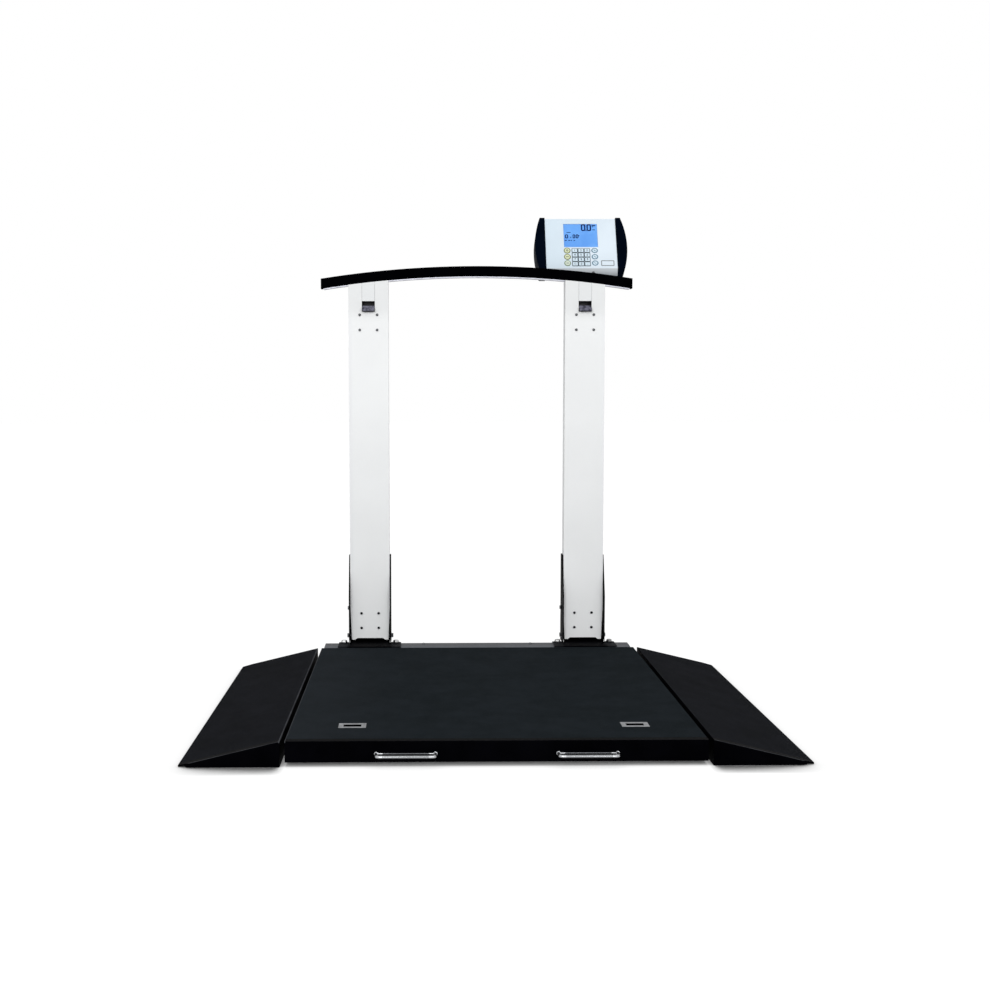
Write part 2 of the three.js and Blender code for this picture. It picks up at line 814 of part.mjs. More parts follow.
// Column: a box section whose head follows the handrail, with the latch window and the cut-out at the foot
function column(side, name) {
  const x = side * columnX;
  const shell = (inset, low, high) =>
    alongY(
      [
        [x - columnHalf + columnNeck + inset, low],
        [x + columnHalf - columnNeck - inset, low],
        [x + columnHalf - columnNeck - inset, columnBottom],
        [x + columnHalf - inset, columnNeckTop],
        [x + columnHalf - inset, high],
        [x - columnHalf + inset, high],
        [x - columnHalf + inset, columnNeckTop],
        [x - columnHalf + columnNeck + inset, columnBottom],
      ],
      columnFront + inset,
      columnRear - inset,
    );
  const roundStrip = alongY(
    archBand(stripHalf + slideGap, -stripPlate - 2 * seatGap - slideGap, slideGap),
    stripFront - slideGap,
    columnRear + overrun,
  );
  const cutHalf = footCutWidth / 2;
  const cutTopHalf = footCutTopWidth / 2;
  const footCut = alongY(
    [
      [x - cutHalf, columnBottom - overrun],
      [x + cutHalf, columnBottom - overrun],
      [x + cutHalf, columnBottom],
      [x + cutTopHalf, columnBottom + footCutHeight],
      [x - cutTopHalf, columnBottom + footCutHeight],
      [x - cutHalf, columnBottom],
    ],
    columnFront - overrun,
    columnFront + columnWall + weld,
  );
  const latchNotch = block(
    [x - windowWidth / 2, x + windowWidth / 2],
    [columnFront - overrun, columnFront + columnWall + weld],
    [windowBottom, gripUnder + overrun],
  );
  const acrossX = [x - columnHalf - overrun, x + columnHalf + overrun];
  const pivotHole = bar("x", pivotRadius + slideGap, ...acrossX, pivotY, pivotZ);
  const lockHole = bar("x", lockRadius + slideGap, acrossX[0], x, lockY, lockZ);
  const screwHoles = screwPlaces(x).map(([sx, sz]) =>
    bar("y", screwHole, columnFront - overrun, columnFront + columnWall + weld, sx, sz, smallRound),
  );
  const body = cutBy(
    shell(0, columnBottom, gripUnder),
    shell(columnWall, columnBottom - overrun, gripUnder + overrun),
    overColumns(),
    roundStrip,
    footCut,
    latchNotch,
    pivotHole,
    lockHole,
    ...screwHoles,
  );
  mesh("column_" + name, body, whiteCoat(), object);
}

// Centres of the eight screws on a column's face, in x and z.
function screwPlaces(x, heights = [lockScrewLow, lockScrewHigh, latchScrewLow, latchScrewHigh]) {
  return heights.flatMap((z) => [-1, 1].map((end) => [x + (end * screwSpacing) / 2, z]));
}

// Screws through the column's face, joined to the plate behind it.
function screws(x, heights) {
  return screwPlaces(x, heights).flatMap(([sx, sz]) => [
    bar("y", screwRadius, columnFront - seatGap - weld, plateFront + weld, sx, sz, smallRound),
    bar("y", screwHeadRadius, columnFront - seatGap - screwHead, columnFront - seatGap, sx, sz, smallRound),
  ]);
}

// Lock block: a plate behind the column's face with an arm along its left side, bored for the lock pin
function lockBlock(side, name) {
  const x = side * columnX;
  const armX = x - columnHalf + columnNeck + columnWall + slideGap;
  const plate = block(
    [x - lockPlateWidth / 2, x + lockPlateWidth / 2],
    [plateFront, plateFront + lockPlate],
    [lockPlateBottom, lockPlateTop],
  );
  const corner = block(
    [armX, x - lockPlateWidth / 2 + weld],
    [plateFront, plateFront + lockPlate],
    [lockPlateBottom, lockPlateTop],
  );
  const arm = block(
    [armX, armX + lockPlate],
    [plateFront, plateFront + lockArmDepth],
    [lockPlateBottom, lockPlateTop],
  );
  const hole = bar("x", lockRadius + slideGap, armX - overrun, armX + lockPlate + overrun, lockY, lockZ);
  const body = cutBy(joined(plate, corner, arm), hole);
  mesh("lock_block_" + name, joined(body, ...screws(x, [lockScrewLow, lockScrewHigh])), greySteel(), object);
}

// Latch housing: a guide plate behind the column's face, with a tongue that fills the notch over the window
function latchHousing(side, name) {
  const x = side * columnX;
  const halfWidth = latchPlateWidth / 2;
  const plate = block(
    [x - halfWidth, x + halfWidth],
    [plateFront, latchPlateRear],
    [latchPlateBottom, latchPlateTop],
  );
  const tongueHalf = windowWidth / 2 - tongueGap;
  const tongue = block(
    [x - tongueHalf, x + tongueHalf],
    [columnFront, plateFront + weld],
    [windowTop, gripUnder],
  ).subtract(overColumns());
  const holeHalf = hookBodyWidth / 2 + slideGap;
  const neckHole = block(
    [x - holeHalf, x + holeHalf],
    [plateFront - overrun, latchPlateRear + overrun],
    [windowBottom - slideGap, windowTop],
  );
  const keeperFront = hookPlateRear + seatGap;
  const keeper = block(
    [x - holeHalf - guideWall, x + holeHalf + guideWall],
    [keeperFront, keeperFront + guideWall],
    [guideBottom, guideTop],
  );
  const guides = [-1, 1].map((end) =>
    block(
      [x + end * holeHalf, x + end * (holeHalf + guideWall)],
      [latchPlateRear - weld, keeperFront + weld],
      [guideBottom, guideTop],
    ),
  );
  const held = screws(x, [latchScrewLow, latchScrewHigh]);
  const body = joined(cutBy(plate, neckHole), tongue, keeper, ...guides, ...held);
  mesh("latch_housing_" + name, body, whiteCoat(), object);
}

function latchHook(side, name) {
  const x = side * columnX;
  const across = [x - hookBodyWidth / 2, x + hookBodyWidth / 2];
  const tip = columnFront - hookReach;
  const body = [neckBottom - hookBodyBelowNeck, neckBottom + hookBodyAboveNeck];
  const plate = block(across, [hookPlateFront, hookPlateRear], body);
  const neck = block(across, [tip, hookPlateFront + weld], [neckBottom, neckBottom + hookNeck]);
  const noseBottom = neckBottom - hookNose;
  const nose = alongX(
    [
      [tip, noseBottom + hookChamfer],
      [tip + hookChamfer, noseBottom],
      [tip + hookNoseThickness, noseBottom],
      [tip + hookNoseThickness, neckBottom + weld],
      [tip, neckBottom + weld],
    ],
    ...across,
  );
  mesh("latch_hook_" + name, joined(plate, neck, nose), greySteel(), object);
}

// Bracket: base plate with ears, side flanges, a stepped rear web and an apron behind the rail
function columnBracket(side, name) {
  const x = side * columnX;
  const earHalf = flangeOuter + bracketEarReach;
  const flangeFront = columnFront - bracketFootAhead;
  const across = [x - flangeOuter, x + flangeOuter];
  const base = joined(
    block(across, [baseFront, lowWebRear], [baseBottom, baseTop]),
    block([x - earHalf, x + earHalf], [baseFront, baseFront + bracketEarDepth], [baseBottom, baseTop]),
  );
  const profile = [
    [flangeFront, baseBottom],
    [lowWebRear, baseBottom],
    [lowWebRear, webBottom + webOverlap],
    [webRear, webBottom + webOverlap],
    [webRear, bracketTop],
    [webRear - bracketTopDepth, bracketTop],
    [flangeFront, bracketTaperZ],
  ];
  const flanges = [-1, 1].map((end) => alongX(profile, x + end * flangeInner, x + end * flangeOuter));
  const web = joined(
    block(across, [webFront, webRear], [webBottom, bracketTop]),
    block(across, [lowWebFront, lowWebRear], [baseBottom, webBottom + webOverlap]),
  );
  const apronFront = railRear + seatGap;
  const apron = block(
    across,
    [apronFront, apronFront + bracketPlate],
    [deckTop - bracketApron, baseTop],
  );
  const boss = bar("x", lockBossRadius, x - flangeOuter + weld, x - flangeOuter - lockBoss, lockY, lockZ);
  const holes = [
    bar("x", pivotRadius + slideGap, x - flangeOuter - overrun, x + flangeOuter + overrun, pivotY, pivotZ),
    bar("x", lockRadius + slideGap, x - flangeOuter - lockBoss - overrun, x, lockY, lockZ),
  ];
  const body = cutBy(joined(base, ...flanges, web, apron, boss), ...holes);
  mesh("column_bracket_" + name, body, frameBlack(), object);
}

function pivotBolt(side, name) {
  const x = side * columnX;
  const washerStart = flangeOuter + seatGap;
  const headStart = washerStart + pivotWasher;
  const at = [pivotY, pivotZ];
  const headEnd = headStart + pivotHead;
  const ends = [-1, 1].flatMap((end) => [
    bar("x", pivotWasherRadius, x + end * washerStart, x + end * headStart, ...at),
    bar("x", pivotHeadRadius, x + end * (headStart - weld), x + end * headEnd, ...at, hexagon),
  ]);
  const shank = bar("x", pivotRadius, x - headStart - weld, x + headStart + weld, ...at);
  mesh("pivot_bolt_" + name, joined(shank, ...ends), greySteel(), object);
}

// Lock pin: its nose stops just outside the column, so that the frame is free to fold in the model
function lockPin(side, name) {
  const x = side * columnX;
  const knobStart = flangeOuter + lockBoss + slideGap;
  const pin = bar("x", lockRadius, x - flangeInner, x - knobStart - weld, lockY, lockZ);
  const knob = bar("x", lockKnobRadius, x - knobStart, x - knobStart - lockKnob, lockY, lockZ);
  mesh("lock_pin_" + name, joined(pin, knob), greySteel(), object);
}

// Indicator carrier: a plate on the right column's rear wall with two ears for the tilt bolt
function indicatorCarrier() {
  const front = columnRear + seatGap;
  const rear = front + carrierPlate;
  const plate = block(
    [indicatorX - carrierHalfWidth, indicatorX + carrierHalfWidth],
    [front, rear],
    [carrierBottom, carrierTop],
  );
  const profile = [
    [rear - weld, carrierEarBottom],
    [tiltPivotY, tiltPivotZ - lugRadius],
    [tiltPivotY, tiltPivotZ + lugRadius],
    [rear - weld, carrierTop],
  ];
  const ears = [-1, 1].flatMap((end) => {
    const span = [indicatorX + end * earInner, indicatorX + end * earOuter];
    return [alongX(profile, ...span), bar("x", lugRadius, ...span, tiltPivotY, tiltPivotZ)];
  });
  const ends = [indicatorX - earOuter - overrun, indicatorX + earOuter + overrun];
  const hole = bar("x", tiltBoltRadius + seatGap, ...ends, tiltPivotY, tiltPivotZ);
  mesh("indicator_bracket", cutBy(joined(plate, ...ears), hole), frameBlack(), object);
}

function tiltBolt() {
  const start = earOuter + seatGap;
  const at = [tiltPivotY, tiltPivotZ];
  const shank = bar("x", tiltBoltRadius, indicatorX - start - weld, indicatorX + start + weld, ...at);
  const head = bar("x", tiltHeadRadius, indicatorX - start - tiltHead, indicatorX - start, ...at, hexagon);
  const knob = bar("x", tiltKnobRadius, indicatorX + start, indicatorX + start + tiltKnob, ...at);
  mesh("tilt_bolt", joined(shank, head, knob), greySteel(), object);
}

// The indicator stands in a group of its own, tilted back round x.
const indicator = new THREE.Group();
indicator.position.set(indicatorX, indicatorY, indicatorZ);
indicator.rotation.x = -tilt;
object.add(indicator);

// Side profile of the case in y and z, grown by a margin.
const caseProfile = (grow) => [
  [lipDepth - grow, -lipHeight - grow],
  [-grow, 0],
  [-grow, faceHeight + grow],
  [caseTopDepth + grow, faceHeight + grow],
  [caseDepth + grow, -rearDrop - grow],
];

function rowsAndColumns() {
  const rows = [
    ["clear", "0", "point"],
    ["7", "8", "9"],
    ["4", "5", "6"],
    ["1", "2", "3"],
  ];
  const numbers = rows.flatMap((labels, row) => labels.map((label, column) => ({
    name: "key_" + label,
    x: keypadShift + numberPitchX * (column - 1),
    z: faceHeight * numberStartShare + numberPitchZ * row,
    shape: (grow, from, to, x, z) => {
      const halfX = numberKeyWidth / 2 + grow;
      const halfZ = numberKeyHeight / 2 + grow;
      return block([x - halfX, x + halfX], [from, to], [z - halfZ, z + halfZ]);
    },
  })));
  const functions = [
    [-1, ["tare", "zero", "power"], 1],
    [1, ["enter", "hold", "units"], ovalShare],
  ].flatMap(([side, labels, stretch]) =>
    labels.map((label, row) => ({
      name: "key_" + label,
      x: keypadShift + side * faceWidth * functionPlaceShare,
      z: faceHeight * (functionStartShare + functionRowShare * row),
      shape: (grow, from, to, x, z) => {
        const radius = functionKeyRadius + grow;
        const disc = new THREE.CylinderGeometry(radius, radius, to - from, round);
        return solid(disc.scale(stretch, 1, 1).translate(x, (from + to) / 2, z));
      },
    })),
  );
  return [...numbers, ...functions];
}

const keys = rowsAndColumns();

function displayOpening(grow, from, to) {
  const half = displayWidth / 2 + grow;
  return block([-half, half], [from, to], [displayBottom - grow, displayBottom + displayHeight + grow]);
}

function indicatorCase() {
  const inside = alongX(caseProfile(-caseWall), caseWall - faceHalf, faceHalf - caseWall);
  const shell = cutBy(alongX(caseProfile(0), -faceHalf, faceHalf), inside);
  const frontHalf = block(
    [-faceHalf - overrun, faceHalf + overrun],
    [-overrun, caseSplit],
    [-lipHeight - overrun, faceHeight + overrun],
  );
  const backHalf = block(
    [-faceHalf - overrun, faceHalf + overrun],
    [caseSplit + seatGap, caseDepth + overrun],
    [-lipHeight - overrun, faceHeight + overrun],
  );
  const holes = keys.map(({ x, z, shape }) => shape(windowGap, -overrun, caseWall + overrun, x, z));
  const postX = boardWidth / 2 - postInsetX;
  const posts = sides.flatMap(([side]) =>
    [boardBottom + postInsetZ, boardTop - postInsetZ].map((z) =>
      block(
        [side * postX - postWidth / 2, side * postX + postWidth / 2],
        [caseWall - weld, boardY - seatGap],
        [z - postWidth / 2, z + postWidth / 2],
      ),
    ),
  );
  const opening = displayOpening(windowGap, -overrun, caseWall + overrun);
  const front = cutBy(shell.intersect(frontHalf), opening, ...holes);
  mesh("indicator_front_case", joined(front, ...posts), caseWhite(), indicator);
  const lugFront = lugY - lugRadius;
  const lugRear = lugY + lugRadius;
  const lugSide = [
    [lugFront, lugZ],
    [lugRear, lugZ],
    [lugRear, caseBottomAt(lugRear) + weld],
    [lugFront, caseBottomAt(lugFront) + weld],
  ];
  const lug = joined(
    bar("x", lugRadius, -lugHalfWidth, lugHalfWidth, lugY, lugZ),
    alongX(lugSide, -lugHalfWidth, lugHalfWidth),
  );
  const boreEnd = lugHalfWidth + overrun;
  const bore = bar("x", tiltBoltRadius + seatGap, -boreEnd, boreEnd, lugY, lugZ);
  mesh("indicator_back_case", cutBy(joined(shell.intersect(backHalf), lug), bore), caseWhite(), indicator);
}

// End cap: bowed outwards in the front view, a hollow cover open towards the case
function endCap(side, name) {
  const low = capRise - lipHeight - capProud;
  const high = faceHeight + capProud;
  const start = faceHalf + seatGap;
  const bow = (inset) => {
    const points = Array.from({ length: capSteps + 1 }, (_, i) => {
      const share = i / capSteps;
      const reach = capEnd + (capBulge - capEnd) * (1 - (2 * share - 1) ** 2) - inset;
      return [side * (start + reach), low + inset + share * (high - low - 2 * inset)];
    });
    const inner = side * (start - (inset > 0 ? overrun : 0));
    return [[inner, low + inset], ...points, [inner, high - inset]];
  };
  const shape = (inset) =>
    alongY(bow(inset), -capProud - overrun, caseDepth + capProud + overrun).intersect(
      alongX(caseProfile(capProud - inset), side * (start - overrun), side * (start + capBulge + overrun)),
    );
  mesh("indicator_end_cap_" + name, cutBy(shape(0), shape(capWall)), capNavy(), indicator);
}

function displayModule() {
  const screen = displayOpening(0, displaySink, boardY + weld);
  const frame = displayOpening(displayFrame, caseWall + seatGap, boardY + weld);
  const half = boardWidth / 2;
  const board = block([-half, half], [boardY, boardY + boardPlate], [boardBottom, boardTop]);
  mesh("display_module", joined(screen, frame, board), displayBlue(), indicator);
}

function keypad() {
  keys.forEach(({ name, x, z, shape }) => {
    const flangeStart = caseWall + seatGap;
    const cap = shape(0, -keyProud, flangeStart + weld, x, z);
    const flange = shape(keyFlangeReach, flangeStart, flangeStart + keyFlange, x, z);
    const stemHalf = keyStemWidth / 2;
    const stem = block(
      [x - stemHalf, x + stemHalf],
      [flangeStart, boardY - keyStem],
      [z - stemHalf, z + stemHalf],
    );
    mesh(name, joined(cap, flange, stem), caseWhite(), indicator);
  });
}

platformDeck();
corners().forEach(loadCell);
corners().forEach(levellingFoot);
junctionBox();
rearRail();
handrail();
sides.forEach(([side, name]) => {
  strikePlateIn(side, name);
  transportWheel(side, name);
  ramp(side, name);
  frontHandle(side, name);
  column(side, name);
  lockBlock(side, name);
  latchHousing(side, name);
  latchHook(side, name);
  columnBracket(side, name);
  pivotBolt(side, name);
  lockPin(side, name);
  endCap(side, name);
});
indicatorCarrier();
tiltBolt();
indicatorCase();
displayModule();
keypad();

// The origin is on the floor, in the middle between the foremost and rearmost points.
const foremost = deckFront - handleReach - handleRadius;
const capTop = faceHeight + capProud;
const rearmost = indicatorY + (caseTopDepth + capProud) * Math.cos(tilt) + capTop * Math.sin(tilt);
object.position.y = -(foremost + rearmost) / 2;

export default object;
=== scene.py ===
"""Wheelchair scale: finishes, fasteners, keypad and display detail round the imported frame."""
import math
import bmesh
import bpy
from mathutils import Matrix, Vector


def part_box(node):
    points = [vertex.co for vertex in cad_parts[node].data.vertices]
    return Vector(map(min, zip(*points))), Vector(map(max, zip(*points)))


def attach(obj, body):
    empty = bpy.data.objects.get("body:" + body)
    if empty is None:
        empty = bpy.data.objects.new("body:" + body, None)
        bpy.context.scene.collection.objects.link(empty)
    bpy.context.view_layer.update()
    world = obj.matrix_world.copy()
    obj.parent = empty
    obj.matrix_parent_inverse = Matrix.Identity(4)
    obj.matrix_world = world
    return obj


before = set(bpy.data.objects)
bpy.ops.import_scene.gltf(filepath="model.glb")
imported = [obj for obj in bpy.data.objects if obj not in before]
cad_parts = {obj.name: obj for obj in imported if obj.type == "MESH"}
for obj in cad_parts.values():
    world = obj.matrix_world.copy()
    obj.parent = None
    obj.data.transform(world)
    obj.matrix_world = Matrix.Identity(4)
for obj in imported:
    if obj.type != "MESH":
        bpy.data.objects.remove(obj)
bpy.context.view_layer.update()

MM = 0.001
SIDES = ("left", "right")
CORNERS = ("front_left", "front_right", "rear_left", "rear_right")

deck_low, deck_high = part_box("platform_deck")
deck_middle = (deck_low + deck_high) / 2

# Places and sizes in millimetres, from the middle of the deck and the floor, as in the part's source

# Deck and ramps
DECK_TOP = 57
DECK_HALF = 457
DECK_LIGHTER_FROM = -150  # from here to the left edge the tread gets lighter
DECK_FOLD = -506.6  # the front edge of deck and ramps
TREAD_FRONT = -488  # where the gritty coat ends
# x limits of the painted highlight line on the deck's left edge and on the left ramp's inner edge, and its
# lowest height
DECK_HIGHLIGHT_X = (-457.5, -455.5)
RAMP_HIGHLIGHT_X = (-470.5, -467.2)
HIGHLIGHT_Z = 53.5
RAMP_START = 469
STRIKE_Y = -378
STRIKE_SCREW_X = 25.5
STRIKE_RISE = 0.2
HANDLE_X = 196.2
HANDLE_HIGHLIGHT_FROM = 50  # the bar has a painted highlight from here outwards
HANDLE_ROD = -512.5  # the rod lies behind this, the bar ahead of it

# Rail, wheels and brackets
RAIL_CREASE = 540.6
RAIL_BOLT_X = 159
RAIL_BOLT_Y = 566
WHEEL_X = 430
WHEEL_Y = 610
WHEEL_Z = 29
HUB_RADIUS = 15
AXLE_END = 15.6
BASE_TOP = 60.3
EAR_BOLT_X = 77
EAR_BOLT_Y = 571
BRACKET_FOOT_X = 64.8
BRACKET_FLANGE_X = 62.5
# x and height limits of the near-white painted glint at the brackets' front corners; the lower height also
# tops the dull foot
BRACKET_GLINT_X = (55.5, 60.5)
BRACKET_CORNER_Z = (62.5, 69.5)

# Columns and latches
COLUMN_X = 318
COLUMN_INSIDE = 57.3  # from a column's middle to within its side wall
COLUMN_SHADE = (45, 54)  # over this width the outer edge gets darker
COLUMN_FRONT = 583
COLUMN_REAR = 628
COLUMN_TOP_SHADE = (1000, 1060)  # over this height the coat is painted darker towards the top, a painted shade
LOCK_SCREWS = (103, 147)
LATCH_SCREWS = (986.5, 1030.5)
SCREW_SPACING = 51
SCREW_SEAT = 2.15
TONGUE_DEPTH = 2.1
HEAD_DEPTH = 0.2

# Indicator, measured on its face from the middle of the lower edge
INDICATOR_AT = (315.5, 640, 1170.5)
FACE_TILT = 25
FACE_ENDS = (220, 410)
LIP_DEPTH = 18
LIP_HEIGHT = 24
LIP_SHADE_ENDS = (1142, 1169)
LIP_PLUG_AT = (33.7, -14)
CASE_DEPTH = 55
REAR_DROP = 7
REAR_TILT = 4.2
BACK_SCREW_X = 92
BACK_SCREW_Z = (12, 165)
KEYPAD_SHIFT = -1.4
NUMBER_PITCH = (18.402, 15.3)
NUMBER_START = 14.807
FUNCTION_X = 41.022
FUNCTION_START = 17.51
FUNCTION_PITCH = 21.505
KEY_TOP = 1.01
PRINT = 0.04
CASE_PRINT = 0.06
GLASS_DEPTH = 0.79
LETTER_SIZE = 9
LETTER_DEPTH = 0.03
LETTER_BOLD = 0.02

# Prints: radius and width of a line for rings, width and height for frames
FRAME_GAP = 0.02
FRAME_LINE = 1.25
KEY_FRAME = (16.9, 13.8)
KEY_LINE = 1.1
CASE_RING = (9.3, 1.7)
KEY_RING = (7.85, 0.9)
CLEAR_RING = (2.2, 0.8)
POWER_RING = (2.4, 1.6)
OVAL_RING = (7.2, 2.6)
OVAL_STRETCH = 1.147
OVAL_SLANT = -40
BAR_LENGTH = 8.4
BAR_TIP = 0.8
BAR_HEIGHTS = (1.6, 2.0, 2.4)
LABEL_AT = (77, 17.6)
LABEL_SIZE = (39.5, 18.8)
LABEL_LINE = 2.5
LABEL_PRINT = 0.05
LABEL_CORNER = 2

# Figures on the display
LARGE_X = (9.1, 26.1)
LARGE_Y = 140.2
LARGE_SIZE = (13.6, 23.4)
LARGE_LINE = 4
LARGE_CORNER = 3
POINT_AT = (17.6, 130.2)
POINT_HALF = 1.5
SMALL_X = ((-42, 9.2), (-19.9, 8), (-10.4, 8))  # each with its width
SMALL_Y = 110
SMALL_HEIGHT = 13.4
SMALL_LINE = 2.8
SMALL_CORNER = 2
TICK_AT = (-5.1, 112.5)
TICK_SIZE = (4.25, 3, 1.5)
DASH_AT = (-29.8, 107)
DASH_SIZE = (5.35, 2.6, 1.3)
MARK_TIP = 0.4

# Small marks there: x and y of the middle, length and height
DISPLAY_MARKS = (
    (40.4, 147.4, 11.8, 3.4), (37.6, 143, 5.4, 2), (40.4, 132.6, 8.8, 2.4), (-35.5, 123.6, 12.8, 2.2),
    (-45, 96, 6.2, 2.8), (-34.6, 96, 5.8, 2.8), (-28.2, 96, 3.8, 2.8), (-19.4, 96, 4.4, 2.8),
)


# Finishes

def linear(r, g, b):
    """A linear colour from screen values of 0 to 255."""
    def one(v):
        v /= 255
        return v / 12.92 if v <= 0.04045 else ((v + 0.055) / 1.055) ** 2.4
    return (one(r), one(g), one(b), 1.0)


def math_node(tree, operation, first, second):
    """The result of one operation on two values, each a number or a socket."""
    node = tree.nodes.new("ShaderNodeMath")
    node.operation = operation
    for socket, value in zip(node.inputs, (first, second)):
        if hasattr(value, "links"):
            tree.links.new(value, socket)
        else:
            socket.default_value = value
    return node.outputs[0]


class Sheet:
    """The node tree of one finish, with short calls for what the finishes share."""

    def __init__(self, name, metallic=0.0, specular=0.5):
        self.material = bpy.data.materials.new(name)
        self.material.use_nodes = True
        self.tree = self.material.node_tree
        self.shader = self.tree.nodes["Principled BSDF"]
        self.shader.inputs["Metallic"].default_value = metallic
        self.shader.inputs["Specular IOR Level"].default_value = specular
        self.place = self.tree.nodes.new("ShaderNodeTexCoord")

    def link(self, source, target):
        self.tree.links.new(source, target)

    def noise(self, size, detail=2.0, roughness=0.5, stretch=(1, 1, 1)):
        """Noise whose features are about size metres across, longer along an axis with a small stretch."""
        place = self.tree.nodes.new("ShaderNodeMapping")
        place.inputs["Scale"].default_value = stretch
        self.link(self.place.outputs["Object"], place.inputs["Vector"])
        node = self.tree.nodes.new("ShaderNodeTexNoise")
        node.inputs["Scale"].default_value = 1 / size
        node.inputs["Detail"].default_value = detail
        node.inputs["Roughness"].default_value = roughness
        self.link(place.outputs["Vector"], node.inputs["Vector"])
        return node.outputs["Fac"]

    def span(self, value, low, high, start=0.0, end=1.0):
        """A value from low..high brought to start..end, smoothly and within those limits."""
        node = self.tree.nodes.new("ShaderNodeMapRange")
        node.interpolation_type = "SMOOTHSTEP"
        for socket, number in (("From Min", low), ("From Max", high), ("To Min", start), ("To Max", end)):
            node.inputs[socket].default_value = number
        self.link(value, node.inputs["Value"])
        return node.outputs["Result"]

    def sums(self, operation, first, second):
        return math_node(self.tree, operation, first, second)

    def mixed(self, first, second, share):
        """A value between two others, with a share of the first."""
        return self.sums("ADD", self.sums("MULTIPLY", first, share), self.sums("MULTIPLY", second, 1 - share))

    def blend(self, share, first, second):
        """A colour between two colours, or two colour sockets."""
        node = self.tree.nodes.new("ShaderNodeMix")
        node.data_type = "RGBA"
        self.link(share, node.inputs["Factor"])
        for index, value in ((6, first), (7, second)):
            if hasattr(value, "links"):
                self.link(value, node.inputs[index])
            else:
                node.inputs[index].default_value = value
        return node.outputs[2]

    def axis(self, source, letter):
        """One number of the Object coordinates or of the Normal."""
        node = self.tree.nodes.new("ShaderNodeSeparateXYZ")
        self.link(self.place.outputs[source], node.inputs[0])
        return node.outputs[letter]

    def size_of(self, value):
        return self.sums("ABSOLUTE", value, 0.0)

    def off_middle(self, x):
        """The distance to the nearer of two planes, at x millimetres to the left and right."""
        return self.size_of(self.sums("SUBTRACT", self.size_of(self.axis("Object", "X")), x * MM))

    def facing(self, letter, low, high):
        """1 where the surface faces along an object axis, 0 elsewhere."""
        return self.span(self.axis("Normal", letter), low, high)

    def both(self, *masks):
        """1 where every mask is 1."""
        whole = masks[0]
        for mask in masks[1:]:
            whole = self.sums("MULTIPLY", whole, mask)
        return whole

    def above(self, letter, limit, mirrored=False):
        """1 where the object coordinate, or its size where mirrored, is above a limit in metres."""
        value = self.axis("Object", letter)
        return self.sums("GREATER_THAN", self.size_of(value) if mirrored else value, limit)

    def below(self, letter, limit, mirrored=False):
        return self.sums("SUBTRACT", 1.0, self.above(letter, limit, mirrored))

    def height(self, value, depth):
        """A bump of depth metres."""
        node = self.tree.nodes.new("ShaderNodeBump")
        node.inputs["Strength"].default_value = 1.0
        node.inputs["Distance"].default_value = depth
        self.link(value, node.inputs["Height"])
        self.link(node.outputs["Normal"], self.shader.inputs["Normal"])

    def colour(self, value):
        self.link(value, self.shader.inputs["Base Color"])

    def rough(self, value):
        self.link(value, self.shader.inputs["Roughness"])


def coated(name, dark, light, roughness, grain, depth, patch=0.12, specular=0.5):
    """Powder coat or moulded plastic: slow changes of tone, and a fine grain in gloss and height."""
    sheet = Sheet(name, specular=specular)
    slow = sheet.span(sheet.noise(patch, 3.0), 0.3, 0.7)
    fine = sheet.noise(grain, 3.0)
    sheet.colour(sheet.blend(sheet.mixed(slow, fine, 0.6), dark, light))
    sheet.rough(sheet.span(fine, 0.3, 0.7, roughness - 0.06, roughness + 0.06))
    sheet.height(fine, depth)
    return sheet.material


def brushed(name, dark, light, roughness, stretch):
    """Metal with brush marks along one axis: stretch is small along the marks."""
    sheet = Sheet(name, metallic=1.0)
    marks = sheet.noise(0.0011, 4.0, 0.6, stretch)
    slow = sheet.span(sheet.noise(0.03, 2.0), 0.3, 0.7)
    sheet.colour(sheet.blend(sheet.mixed(slow, marks, 0.4), dark, light))
    sheet.rough(sheet.span(marks, 0.3, 0.7, roughness - 0.08, roughness + 0.1))
    sheet.height(marks, 0.00004)
    return sheet.material


def deck_y(y):
    """A depth measured from the middle of the deck in millimetres, in metres of the frame."""
    return deck_middle.y + y * MM


